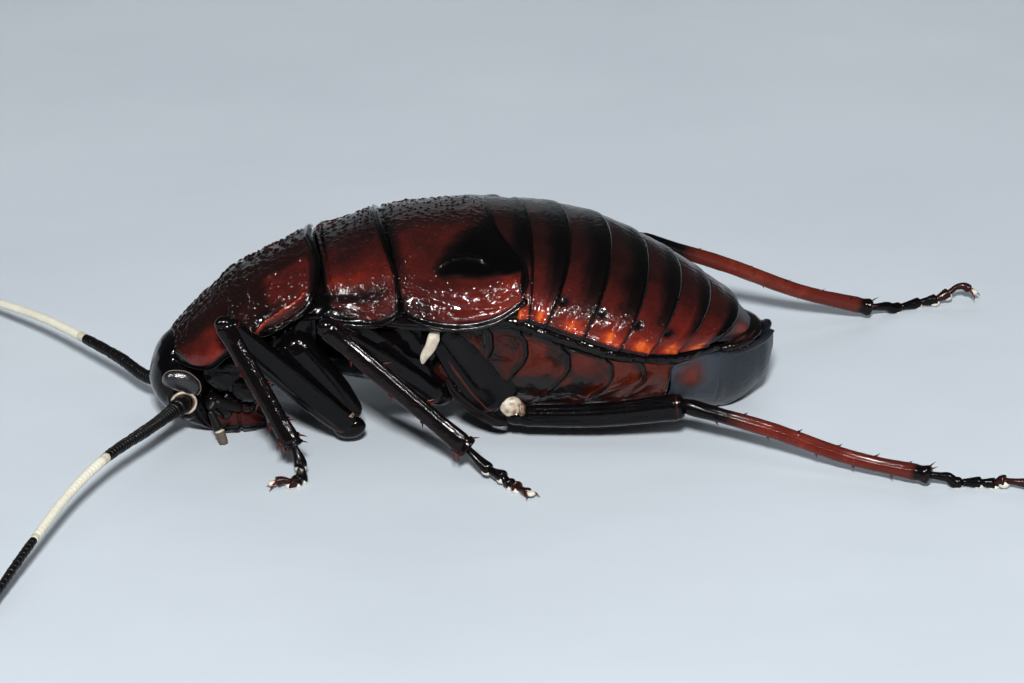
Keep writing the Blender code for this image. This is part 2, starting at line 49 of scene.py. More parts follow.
ORIGIN = np.array((-1.51, 0.95, 0.0))
SIDES = {"left": -1, "right": 1}

# The photograph's view: a long lens, low and slightly behind the shoulder.
VIEW_AZIMUTH = math.radians(-5.0)
VIEW_ELEVATION = math.radians(18.0)
VIEW_ROLL = math.radians(-1.7)
VIEW_DISTANCE = 400.0
PIXELS_PER_MM = 14.8
PHOTO_WIDTH = 1024
SENSOR_WIDTH = 36.0
AIM_RIGHT, AIM_UP = 3.45, 4.83


def placed(points):
    return (np.asarray(points, float) + ORIGIN) * MM


def added(name, data):
    """A new object in the scene."""
    obj = bpy.data.objects.new(name, data)
    bpy.context.scene.collection.objects.link(obj)
    return obj


def stand(obj, spot, right, up, back):
    """Puts a lamp or the camera at a spot in millimetres, with these axes; it looks against the third."""
    turn = Matrix(np.stack([right, up, back], 1).tolist()).to_4x4()
    obj.matrix_world = Matrix.Translation(placed(spot).tolist()) @ turn


def aimed(obj, spot, target):
    """Puts a lamp at a spot and turns it to a target, both in millimetres."""
    back = np.asarray(spot, float) - np.asarray(target, float)
    back = back / np.linalg.norm(back)
    right = np.cross((0, 0, 1), back)
    right = right / np.linalg.norm(right)
    stand(obj, spot, right, np.cross(back, right), back)


def add_camera():
    ca, sa = math.cos(VIEW_AZIMUTH), math.sin(VIEW_AZIMUTH)
    ce, se = math.cos(VIEW_ELEVATION), math.sin(VIEW_ELEVATION)
    back = np.array([sa * ce, -ca * ce, se])
    level = np.array([ca, sa, 0.0])
    upright = np.cross(back, level)
    right = level * math.cos(VIEW_ROLL) + upright * math.sin(VIEW_ROLL)
    up = upright * math.cos(VIEW_ROLL) - level * math.sin(VIEW_ROLL)
    spot = AIM_RIGHT * right + AIM_UP * up + VIEW_DISTANCE * back
    data = bpy.data.cameras.new("view")
    data.sensor_width = SENSOR_WIDTH
    data.lens = PIXELS_PER_MM * VIEW_DISTANCE * SENSOR_WIDTH / PHOTO_WIDTH
    data.clip_start = 0.01
    data.clip_end = 5.0
    camera = added("view", data)
    stand(camera, spot, right, up, back)
    bpy.context.scene.camera = camera


# Each lamp: where it is, what it faces, its width, its power in watts, its colour, and which surfaces
# show it: all, only the matt ones, or only as a glint on the polished ones.
LAMPS = {
    "flash": ((-46, -523, 291), (0, 0, 4), 60, 7.0, (0.985, 0.99, 0.995), "matt"),
    "flash_glint": ((-34, -330, 259), (0, 0, 4), 28, 3.2, (1.0, 0.985, 0.97), "glint"),
    "left_glint": ((-265, -150, 230), (0, 0, 4), 22, 0.8, (1.0, 0.985, 0.97), "glint"),
    "right_glint": ((185, -275, 235), (0, 0, 4), 22, 1.0, (1.0, 0.985, 0.97), "glint"),
    "fill": ((0, -60, 420), (0, 0, 0), 560, 0.38, (0.92, 0.96, 1.0), "matt"),
    "back": ((60, 380, 210), (0, 0, 4), 260, 0.4, (0.92, 0.96, 1.0), "matt"),
    "wall": ((0, 430, 70), (0, 0, 8), 220, 0.03, (0.86, 0.93, 1.0), "all"),
}
# The spot of floor that the flash lights most, and how far round it the floor is darkened to even that out.
FLASH_FOOT = (-40.0, -420.0, 0.0)
FLASH_REACH = 370.0
SKY = (0.74, 0.8, 0.86)
SKY_STRENGTH = 0.05


def add_lamps():
    for name, (spot, target, width, power, colour, shown) in LAMPS.items():
        data = bpy.data.lights.new(name, "AREA")
        data.shape = "DISK"
        data.size = width * MM
        data.energy = power
        data.color = colour
        lamp = added(name, data)
        lamp.visible_glossy = shown != "matt"
        lamp.visible_diffuse = shown != "glint"
        aimed(lamp, spot, target)
    world = bpy.data.worlds.new("sky")
    world.use_nodes = True
    light = world.node_tree.nodes["Background"]
    light.inputs["Color"].default_value = (*SKY, 1.0)
    light.inputs["Strength"].default_value = SKY_STRENGTH
    bpy.context.scene.world = world
    bpy.context.scene.view_settings.view_transform = "Standard"


# Shader building


class Shader:
    """One material's node tree, with coordinates in millimetres and the mesh's coat attribute."""

    def __init__(self, name):
        self.material = bpy.data.materials.new(name)
        self.material.use_nodes = True
        self.tree = self.material.node_tree
        self.surface = self.tree.nodes["Principled BSDF"]
        place = self.tree.nodes.new("ShaderNodeTexCoord").outputs["Object"]
        self.place = self.math_vector("MULTIPLY", place, (1 / MM,) * 3)
        coat = self.tree.nodes.new("ShaderNodeAttribute")
        coat.attribute_name = "coat"
        parts = self.add("ShaderNodeSeparateXYZ", {"Vector": coat.outputs["Vector"]})
        self.warm, self.satin, self.grain = parts.outputs[0], parts.outputs[1], parts.outputs[2]

    def add(self, kind, inputs, **settings):
        node = self.tree.nodes.new(kind)
        for key, value in settings.items():
            setattr(node, key, value)
        for key, value in inputs.items():
            if isinstance(value, bpy.types.NodeSocket):
                self.tree.links.new(value, node.inputs[key])
            else:
                node.inputs[key].default_value = value
        return node

    def math(self, operation, a, b):
        return self.add("ShaderNodeMath", {0: a, 1: b}, operation=operation).outputs[0]

    def math_vector(self, operation, a, b):
        return self.add("ShaderNodeVectorMath", {0: a, 1: b}, operation=operation).outputs[0]

    def noise(self, scale, detail=3.0, distortion=0.0):
        inputs = {"Vector": self.place, "Scale": scale, "Detail": detail, "Distortion": distortion}
        return self.add("ShaderNodeTexNoise", inputs).outputs[0]

    def cells(self, scale):
        return self.add("ShaderNodeTexVoronoi", {"Vector": self.place, "Scale": scale}).outputs["Distance"]

    def ramp(self, value, stops):
        node = self.add("ShaderNodeValToRGB", {0: value})
        band = node.color_ramp
        while len(band.elements) < len(stops):
            band.elements.new(0.5)
        for element, (spot, *colour) in zip(band.elements, stops):
            element.position = spot
            element.color = (*colour, 1.0)
        return node.outputs["Color"]

    def spread(self, value, low, high):
        """Moves a value from 0..1 to low..high."""
        return self.add("ShaderNodeMapRange", {"Value": value, "To Min": low, "To Max": high}).outputs[0]

    def bump(self, height, distance, strength=1.0, below=None):
        inputs = {"Height": height, "Distance": distance * MM, "Strength": strength}
        if below is not None:
            inputs["Normal"] = below
        return self.add("ShaderNodeBump", inputs).outputs[0]

    def finish(self, colour, rough, normal, coat=0.0, coat_rough=0.05, **uniform):
        """Joins the surface up; coat is a plain number, or a socket where it varies."""
        inputs = self.surface.inputs
        self.tree.links.new(colour, inputs["Base Color"])
        self.tree.links.new(rough, inputs["Roughness"])
        self.tree.links.new(normal, inputs["Normal"])
        if isinstance(coat, bpy.types.NodeSocket):
            self.tree.links.new(coat, inputs["Coat Weight"])
        else:
            inputs["Coat Weight"].default_value = coat
        inputs["Coat Roughness"].default_value = coat_rough
        for key, value in uniform.items():
            inputs[key].default_value = value
        return self.material


# Colour stops: place, red, green, blue.
CUTICLE = (
    (0.0, 0.0011, 0.0009, 0.001), (0.22, 0.0038, 0.002, 0.002), (0.42, 0.013, 0.0036, 0.0032),
    (0.6, 0.041, 0.0058, 0.0046), (0.78, 0.095, 0.0095, 0.0052), (0.9, 0.205, 0.02, 0.0055),
    (1.0, 0.39, 0.07, 0.01),
)


def cuticle(name, stops=CUTICLE, mottle=0.16, rough=(0.1, 0.42), coat=0.3):
    """Polished plate: colour after the coat's first value, sheen after the second, grain after the third."""
    s = Shader(name)
    broad = s.spread(s.noise(0.55, 4.0, 0.6), -mottle, mottle)
    fine = s.spread(s.noise(4.5, 3.0), -mottle * 0.5, mottle * 0.5)
    # Blotches fade out where the plate is black.
    fade = s.add("ShaderNodeMapRange", {"Value": s.warm, "From Min": 0.05, "From Max": 0.45}).outputs[0]
    blotch = s.math("MULTIPLY", s.math("ADD", broad, fine), fade)
    colour = s.ramp(s.math("ADD", s.warm, blotch), stops)
    sheen = s.math("ADD", s.spread(s.satin, *rough), s.spread(s.noise(2.5), -0.05, 0.07))
    skin = s.bump(s.noise(14.0, 2.0), 0.012, 0.5)
    pores = s.bump(s.math("MULTIPLY", s.cells(5.5), s.grain), 0.05, 0.55, skin)
    gloss = s.spread(s.satin, coat, 0.0)
    return s.finish(colour, sheen, pores, gloss, 0.08, **{"Specular IOR Level": 0.11})


def pale_skin():
    """Soft membrane: creamy and finely folded."""
    s = Shader("soft_skin")
    colour = s.ramp(s.math("ADD", s.warm, s.spread(s.noise(3.0, 4.0), -0.25, 0.25)), SKIN_STOPS)
    folds = s.bump(s.noise(SKIN_FOLDS, 4.0, 1.2), 0.05, 0.7)
    return s.finish(colour, s.spread(s.noise(2.0), 0.25, 0.5), folds, 0.2, 0.1)


def eye_surface():
    """Black compound eye with rows of fine facets."""
    s = Shader("eye_lens")
    stops = ((0.0, 0.004, 0.004, 0.006), (1.0, 0.02, 0.018, 0.021))
    colour = s.ramp(s.math("ADD", s.warm, s.spread(s.noise(1.5), -0.2, 0.2)), stops)
    facets = s.bump(s.cells(13.0), 0.02, 0.6)
    return s.finish(colour, s.spread(s.noise(3.0), 0.18, 0.3), facets, 0.25, 0.14)


def floor_surface():
    """Pale painted board with faint unevenness, darker where the flash stands close above it."""
    s = Shader("floor")
    pale = s.ramp(s.noise(0.035, 4.0), ((0.3, 0.485, 0.53, 0.572), (0.7, 0.52, 0.565, 0.607)))
    away = s.add("ShaderNodeVectorMath", {0: s.place, 1: FLASH_FOOT}, operation="DISTANCE").outputs["Value"]
    reach = s.math("POWER", s.math("DIVIDE", away, FLASH_REACH), 2.0)
    level = s.math("MINIMUM", s.math("ADD", s.math("MULTIPLY", reach, 0.74), 0.26), 1.0)
    colour = s.add("ShaderNodeVectorMath", {0: pale, "Scale": level}, operation="SCALE").outputs[0]
    wave = s.bump(s.noise(0.12, 3.0), 0.25, 0.35)
    return s.finish(colour, s.spread(s.noise(0.2), 0.45, 0.6), wave, **{"Specular IOR Level": 0.08})


# Mathematics of the forms


def curve_through(rows):
    """A smooth function of the first column, for arrays, that gives the other columns."""
    rows = np.array(rows, float)
    xs, ys = rows[:, 0], rows[:, 1:]
    slopes = np.gradient(ys, xs, axis=0)

    def at(x):
        x = np.clip(np.asarray(x, float), xs[0], xs[-1])
        i = np.clip(np.searchsorted(xs, x) - 1, 0, len(xs) - 2)
        h = xs[i + 1] - xs[i]
        t = ((x - xs[i]) / h)[..., None]
        h = h[..., None]
        a = (1 + 2 * t) * (1 - t) ** 2
        b = t * (1 - t) ** 2
        c = t * t * (3 - 2 * t)
        d = t * t * (t - 1)
        return a * ys[i] + b * h * slopes[i] + c * ys[i + 1] + d * h * slopes[i + 1]

    return at


def mirrored(points, way):
    """Points of the far side, for the side that way names."""
    return np.array(points, float) * (1, way, 1)


def runs(points):
    """How far along its path each point lies."""
    return np.concatenate([[0], np.cumsum(np.linalg.norm(np.diff(points, axis=0), axis=1))])


def at_runs(want, run, points):
    """The places on a path at the wanted runs, where run gives the run of each of its points."""
    return np.stack([np.interp(want, run, points[:, k]) for k in range(3)], 1)


def smooth_path(points, count):
    """Evenly spaced points on a smooth curve through the given ones."""
    points = np.array(points, float)
    if len(points) == 2:
        return points[0] + (points[1] - points[0]) * np.linspace(0, 1, count)[:, None]
    ends = np.concatenate([[2 * points[0] - points[1]], points, [2 * points[-1] - points[-2]]])
    t = np.linspace(0, 1, 24, endpoint=False)[:, None]
    fine = []
    for a, b, c, d in zip(ends, ends[1:], ends[2:], ends[3:]):
        fine.append(
            0.5 * (2 * b + (c - a) * t + (2 * a - 5 * b + 4 * c - d) * t**2 + (3 * b - a - 3 * c + d) * t**3)
        )
    fine = np.concatenate(fine + [points[-1:]])
    run = runs(fine)
    return at_runs(np.linspace(0, run[-1], count), run, fine)


def unit(v):
    return v / np.maximum(np.linalg.norm(v, axis=-1, keepdims=True), 1e-9)


def rise(x, low, high):
    """0 below low, 1 above high, smooth between; low may be the greater one."""
    t = np.clip((x - low) / (high - low), 0, 1)
    return t * t * (3 - 2 * t)


def bell(x, centre, width):
    return np.exp(-(((x - centre) / width) ** 2))


def near_edge(u):
    """0 at the midline to 1 at either side edge."""
    return np.abs(2 * u - 1)


def side(u):
    """u folded onto the near half, so that both sides match."""
    return np.maximum(u, 1 - u)


def welt(x, height, centre, width, depth, groove, groove_width):
    """A raised line with a groove beside it."""
    return height * bell(x, centre, width) - depth * bell(x, groove, groove_width)


def scatter(i, j, seed):
    """A number in 0..1 that looks random, always the same for one place and seed."""
    n = np.sin(i * 127.1 + j * 311.7 + seed * 74.7) * 43758.5453
    return n - np.floor(n)


def noise(a, b, seed=0):
    """Smooth noise in 0..1 with features one unit wide, on a grid turned off the plate's own directions."""
    a, b = 0.8 * a + 0.6 * b, 0.8 * b - 0.6 * a
    i, j = np.floor(a), np.floor(b)
    s, t = rise(a - i, 0, 1), rise(b - j, 0, 1)
    low = scatter(i, j, seed) * (1 - s) + scatter(i + 1, j, seed) * s
    high = scatter(i, j + 1, seed) * (1 - s) + scatter(i + 1, j + 1, seed) * s
    return low * (1 - t) + high * t


def granules(a, b, spacing, radius, seed, share=0.7):
    """Round tubercles about one spacing apart, as heights in 0..1."""
    a, b = a / spacing, b / spacing
    i0, j0 = np.floor(a), np.floor(b)
    height = np.zeros_like(a)
    for di in (-1, 0, 1):
        for dj in (-1, 0, 1):
            i, j = i0 + di, j0 + dj
            away = np.hypot(a - i - scatter(i, j, seed), b - j - scatter(i, j, seed + 1))
            size = radius / spacing * (0.6 + 0.6 * scatter(i, j, seed + 2))
            there = scatter(i, j, seed + 3) < share
            height = np.maximum(height, np.sqrt(np.clip(1 - (away / size) ** 2, 0, 1)) * there)
    return height


def wrinkles(a, b, seed=0):
    """Branching creases in 0..1."""
    shift = noise(a * 0.7, b * 0.7, seed + 9) * 1.6
    return 1 - np.abs(2 * noise(a + shift, b - shift, seed) - 1)


def coat_of(warm, satin=0.0, grain=0.0):
    warm, satin, grain = np.broadcast_arrays(np.asarray(warm, float), satin, grain)
    return np.stack([warm, satin, grain], -1)


# Mesh building. A part is (points, faces, coat); a piece joins parts into one object.


def closed_sheet(surface, size, counts, relief, coat, thick=0.24, start=0.0):
    """A plate: its outer skin with relief, its inner skin, and a rounded edge between them.

    relief and coat take u, v, u folded onto the near half, and u and v in millimetres by the given size.
    """
    u, v = np.meshgrid(np.linspace(0, 1, counts[0] + 1), np.linspace(start, 1, counts[1] + 1), indexing="ij")
    base = surface(u, v)
    normal = unit(np.cross(np.gradient(base, axis=0), np.gradient(base, axis=1)))
    middle = base.reshape(-1, 3).mean(0)
    turned = np.sum(normal * (base - middle)) < 0
    normal = -normal if turned else normal
    spots = (u, v, side(u), u * size[0], v * size[1])
    outer = base + normal * relief(*spots)[..., None]
    inner = base - normal * thick
    rows, cols = u.shape
    there, back = np.arange(rows), np.arange(rows - 2, -1, -1)
    i = np.concatenate([there, np.full(cols - 1, rows - 1), back, np.zeros(cols - 2, int)])
    there, back = np.arange(1, cols), np.arange(cols - 2, 0, -1)
    j = np.concatenate([np.zeros(rows, int), there, np.full(rows - 1, cols - 1), back])
    near = outer[np.clip(i, 1, rows - 2), np.clip(j, 1, cols - 2)]
    away = unit(outer[i, j] - near)
    middle = (outer[i, j] + inner[i, j]) / 2
    half = np.linalg.norm(outer[i, j] - inner[i, j], axis=1, keepdims=True) / 2
    rings = [
        middle + normal[i, j] * half * math.cos(turn) + away * half * math.sin(turn)
        for turn in (math.pi * 0.25, math.pi * 0.5, math.pi * 0.75)
    ]
    points = np.concatenate([outer.reshape(-1, 3), inner.reshape(-1, 3)] + rings)
    skin = coat(*spots)
    edge = skin[i, j] * (0.35, 0.5, 0)
    skin = skin.reshape(-1, 3)
    coats = np.concatenate([skin, skin * (0.3, 1, 0)] + [edge] * 3)
    cell = np.arange(rows * cols).reshape(rows, cols)
    quads = np.stack([cell[:-1, :-1], cell[1:, :-1], cell[1:, 1:], cell[:-1, 1:]], -1).reshape(-1, 4)
    faces = [quads, quads[:, ::-1] + rows * cols]
    loops = [cell[i, j]] + [2 * rows * cols + n * len(i) + np.arange(len(i)) for n in range(3)]
    loops.append(cell[i, j] + rows * cols)
    for first, second in zip(loops, loops[1:]):
        faces.append(np.stack([np.roll(first, -1), first, second, np.roll(second, -1)], -1))
    faces = np.concatenate(faces)
    return points, (faces[:, ::-1] if turned else faces), coats


def powered(value, power):
    return np.sign(value) * np.abs(value) ** power


def loft(rings, coat, relief=None):
    """A closed body through rings of points. relief and coat take the run along it and the turn about it."""
    rings = np.asarray(rings, float)
    count, sides = rings.shape[:2]
    middle = rings.mean(1, keepdims=True)
    t, angle = np.meshgrid(np.linspace(0, 1, count), turns(sides), indexing="ij")
    if relief is not None:
        rings = rings + unit(rings - middle) * np.broadcast_to(relief(t, angle), t.shape)[..., None]
    skin = np.broadcast_to(coat(t, angle) if callable(coat) else np.array(coat, float), rings.shape)
    points = np.concatenate([rings.reshape(-1, 3), middle[0], middle[-1]])
    coats = np.concatenate([skin.reshape(-1, 3), skin[0, :1], skin[-1, :1]])
    cell = np.arange(count * sides).reshape(count, sides)
    over = np.roll(cell, -1, axis=1)
    first, last = np.full(sides, count * sides), np.full(sides, count * sides + 1)
    quads = np.stack([cell[:-1], cell[1:], over[1:], over[:-1]], -1).reshape(-1, 4)
    ends = [np.stack([cell[0], over[0], first, first], -1), np.stack([over[-1], cell[-1], last, last], -1)]
    faces = np.concatenate([quads] + ends)
    a, b, c = (points[faces[:, k]] - middle[0] for k in range(3))
    d = points[faces[:, 3]] - middle[0]
    volume = np.sum(a * np.cross(b, c)) + np.sum(a * np.cross(c, d))
    if volume < 0:
        faces = np.concatenate([quads[:, ::-1]] + [end[:, (1, 0, 2, 3)] for end in ends])
    return points, faces, coats


def finer(rings, count):
    """More rings, smoothly between the given ones."""
    at = curve_through([(i, *np.ravel(ring)) for i, ring in enumerate(rings)])
    return at(np.linspace(0, len(rings) - 1, count)).reshape(count, -1, 3)


def turns(count):
    return 2 * np.pi * np.arange(count) / count


def round_ends(count, first, last):
    """Width along a limb of round ends, which take up these shares of its length."""
    t = np.linspace(0, 1, count)
    start = np.sqrt(np.clip(1 - np.clip(1 - t / first, 0, 1) ** 2, 0.0004, 1))
    return start * np.sqrt(np.clip(1 - np.clip(1 - (1 - t) / last, 0, 1) ** 2, 0.0004, 1))


def across_limb(ahead, hint):
    """The two directions square to a limb: across the hint, then along it."""
    flat = unit(hint - ahead * (ahead @ hint)[..., None])
    return np.cross(ahead, flat), flat


def tube(path, wide, thick, hint, coat, sides=20, relief=None, power=1.0):
    """A closed limb along a path. wide and thick are half sizes at its points, thick along the hint."""
    path = np.asarray(path, float)
    count = len(path)
    wide, thick = np.broadcast_to(wide, count), np.broadcast_to(thick, count)
    ahead = unit(np.gradient(path, axis=0))
    broad, flat = across_limb(ahead, np.asarray(hint, float))
    turn = turns(sides)
    c, s = powered(np.cos(turn), power)[None], powered(np.sin(turn), power)[None]
    out = broad[:, None] * (wide[:, None] * c)[..., None] + flat[:, None] * (thick[:, None] * s)[..., None]
    return loft(path[:, None] + out, coat, relief)


def ball(centre, radii, coat, sides=18, relief=None):
    """A rounded lump with half sizes along x, y and z."""
    centre = np.asarray(centre, float)
    turn = np.linspace(0.04, math.pi - 0.04, sides)
    path = centre + np.stack([-np.cos(turn) * radii[0], np.zeros(sides), np.zeros(sides)], 1)
    return tube(path, radii[1] * np.sin(turn), radii[2] * np.sin(turn), (0, 0, 1), coat, sides, relief)


def spike(root, point, half, coat=(0.42, 0.1, 0.0), bend=(0, 0, 0), sides=7):
    """A pointed spine or hair, bent sideways in its middle."""
    root, point = np.asarray(root, float), np.asarray(point, float)
    middle = (root + point) / 2 + np.asarray(bend, float)
    path = smooth_path([root, middle, point], 6)
    width = half * np.array([1.15, 1.0, 0.82, 0.6, 0.34, 0.06])
    return tube(path, width, width, (0.31, 0.52, 0.77), coat, sides)


def piece(name, parts, material, *nodes, slot=None):
    """One object from its parts; it stands for the named solids and rides on the whole animal."""
    points = np.concatenate([p[0] for p in parts])
    points[:, 2] = np.maximum(points[:, 2], 0)
    points = placed(points)
    starts = np.cumsum([0] + [len(p[0]) for p in parts[:-1]])
    faces = np.concatenate([p[1] + start for p, start in zip(parts, starts)])
    ends = np.where(faces[:, 2] == faces[:, 3], 3, 4)
    polygons = [face[:end] for face, end in zip(faces.tolist(), ends)]
    mesh = bpy.data.meshes.new(name)
    mesh.from_pydata(points.tolist(), [], polygons)
    coat = mesh.attributes.new("coat", "FLOAT_VECTOR", "POINT")
    coat.data.foreach_set("vector", np.concatenate([p[2] for p in parts]).astype(np.float32).ravel())
    mesh.materials.append(material)
    mesh.shade_smooth()
    obj = added(name, mesh)
    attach(obj, "root")
    if nodes:
        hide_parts(*nodes)


def arch(u, side_power=2.05, top_power=2.0):
    """Across and height of a plate's outline, both as parts of one."""
    c, s = np.cos(np.pi * u), np.sin(np.pi * u)
    return powered(c, 2 / side_power), powered(s, 2 / top_power)


def dome(rows, swell=None):
    """A plate through rows of edge x, z, half width, midline x, z; swell moves it in x."""
    count = len(rows)
    at = curve_through([(i / (count - 1), *row) for i, row in enumerate(rows)])

    def surface(u, v):
        ex, ez, half, tx, tz = np.moveaxis(at(np.maximum(v, 0)), -1, 0)
        lead = at(0.0) - at(0.12)
        ex = ex + np.minimum(v, 0) * -lead[0] / 0.12
        tx = tx + np.minimum(v, 0) * -lead[3] / 0.12
        c, s = arch(u)
        shift = 0 if swell is None else swell(side(u), v)
        return np.stack([ex + (tx - ex) * s + shift, half * c, ez + (tz - ez) * s], -1)

    return surface


def keel(rows, swell):
    """A boat-shaped plate through rows of deck x, z, half width, keel x, z."""
    count = len(rows)
    at = curve_through([(i / (count - 1), *row) for i, row in enumerate(rows)])

    def surface(u, v):
        dx, dz, half, kx, kz = np.moveaxis(at(v), -1, 0)
        c, s = arch(u, 2.0, 2.2)
        return np.stack([dx + (kx - dx) * s + swell(side(u), v), half * c, dz + (kz - dz) * s], -1)

    return surface


# Back plates. Each row: edge x, z, half width, midline x, z.
METANOTUM_HIND = (3.35, 10.5, 9.6, 2.35, 14.47)
METANOTUM = (
    (-4.25, 9.85, 9.0, -4.85, 14.15), (-2.6, 9.25, 9.6, -3.1, 14.34), (-0.67, 9.0, 10.0, -1.1, 14.48),
    (1.4, 9.35, 10.0, 0.8, 14.52),
    METANOTUM_HIND,
)
MESONOTUM = (
    (-9.4, 10.1, 8.0, -9.55, 12.4), (-8.1, 9.5, 8.5, -8.4, 13.02), (-6.6, 9.25, 8.8, -6.9, 13.62),
    (-5.5, 9.4, 9.0, -6.0, 13.92), (-4.6, 10.0, 9.0, -5.2, 14.1),
)
TERGITE_START = (2.3, 9.25, 9.55, 2.35, 14.52)
TERGITE_HINDS = (
    (3.85, 9.35, 9.7, 4.72, 14.1), (4.85, 9.1, 10.2, 7.45, 13.52), (7.25, 8.13, 10.3, 10.2, 12.67),
    (9.7, 7.1, 10.0, 12.68, 11.35), (11.7, 6.45, 9.3, 14.89, 9.98), (13.6, 6.05, 8.1, 16.9, 8.5),
    (16.0, 5.98, 6.2, 18.85, 6.92),
)
ARC_LENGTH = 24.0
# Where the metanotum's hind margin crosses the first back plate: side, then place along the plate.
COVER_W = (0.5, 0.55, 0.6, 0.65, 0.7, 0.75, 0.8, 0.85, 0.9, 1.0)
COVER_V = (-0.08, -0.05, 0.03, 0.15, 0.33, 0.53, 0.68, 0.72, 0.69, 0.6)


def tergite(n):
    front = TERGITE_START if n == 1 else TERGITE_HINDS[n - 2]
    rows = (front, TERGITE_HINDS[n - 1])
    length = rows[1][3] - rows[0][3]
    spotted = 3 <= n <= 6

    def spot(w, v):
        across = (w - 0.884) * ARC_LENGTH / 0.42
        along = (v - 0.17) * length / 0.3
        return bell(np.hypot(across, along), 0, 1.0) * spotted

    def relief(u, v, w, a, b):
        e = near_edge(u)
        step = 0.11 * rise(v, 0.55, 0.97) - 0.55 * rise(v, 0.1, -0.14)
        if n == 1:
            cover = np.interp(w, COVER_W, COVER_V)
            step = 0.11 * rise(v, 0.75, 0.97) - 0.45 * rise(v, cover + 0.01, cover - 0.14)
            step = step - 0.08 - 0.1 * bell(w, 0.72, 0.08) * rise(v, 1.0, 0.8)
        swell = 0.1 * np.sin(np.pi * np.clip(v, 0, 1))
        rim = welt(e, 0.1, 0.975, 0.012, 0.06, 0.935, 0.015)
        crease = 0.035 * wrinkles(a * 0.9, b * 2.2, n) * rise(e, 0.35, 0.75)
        fine = 0.02 * noise(a * 5, b * 5, n + 20)
        dots = 0.045 * granules(a, b, 0.42, 0.1, n + 3, 0.3) * rise(e, 0.97, 0.93)
        dots = dots * rise(e, 0.25, 0.45)
        return step + swell + rim + crease + fine + dots - 0.07 * spot(w, v)

    def coat(u, v, w, a, b):
        e = near_edge(u)
        drift = noise(e * 9, n * 3.1, 60) - 0.5
        warm = 0.38 + 0.26 * rise(e, 0.3, 0.85) + 0.24 * rise(e, 0.82, 0.96) * rise(v, 0.1, 0.6)
        if n > 4:
            warm = warm + 0.06
        start, end = (0.42, 0.72) if n < 6 else (0.6, 0.85)
        band = rise(v + 0.22 * drift, start - 0.08, end + 0.08) * (1 - rise(e + 0.12 * drift, 0.6, 0.88))
        streak = bell(v, 0.62, 0.05) * rise(e, 0.3, 0.5) * 0.06
        glow = 0.13 * bell(e, 0.905, 0.045) * bell(v, 0.55, 0.24)
        if n == 1:
            band = band * rise(e, 0.6, 0.4)
        warm = warm - 0.37 * band + streak + glow
        warm = warm - 0.3 * rise(v, 0.1, 0.0) - 0.35 * rise(v, 0.93, 1.0)
        warm = warm - 0.5 * rise(e, 0.965, 0.985) - 0.75 * spot(w, v)
        if n == 7:
            warm = warm - 0.55 * rise(v, 0.7, 0.9)
        return coat_of(np.clip(warm, 0, 1), 0.25 + 0.2 * band, 0.25)

    sheet = closed_sheet(dome(rows), (ARC_LENGTH, length), (240, 50), relief, coat, start=-0.16)
    piece(f"back_plate_{n}", [sheet], PLATE, f"tergite_{n}")


CRESCENT_V = (0.33, 0.417, 0.503, 0.603, 0.693, 0.768)
CRESCENT_U = (0.784, 0.754, 0.736, 0.731, 0.745, 0.778)
PATCH_V = (0.34, 0.5, 0.66, 0.8, 0.91, 1.0)
PATCH_TOP_U = (0.779, 0.687, 0.633, 0.592, 0.56, 0.555)
PATCH_LOW_U = (0.785, 0.8, 0.812, 0.821, 0.832, 0.84)
BRACE_V = (0.055, 0.165, 0.323)
BRACE_U = (0.772, 0.726, 0.686)
FLANGE_V = (0.0, 0.258, 0.53, 0.657, 1.0)
FLANGE_U = (0.84, 0.871, 0.911, 0.927, 0.955)


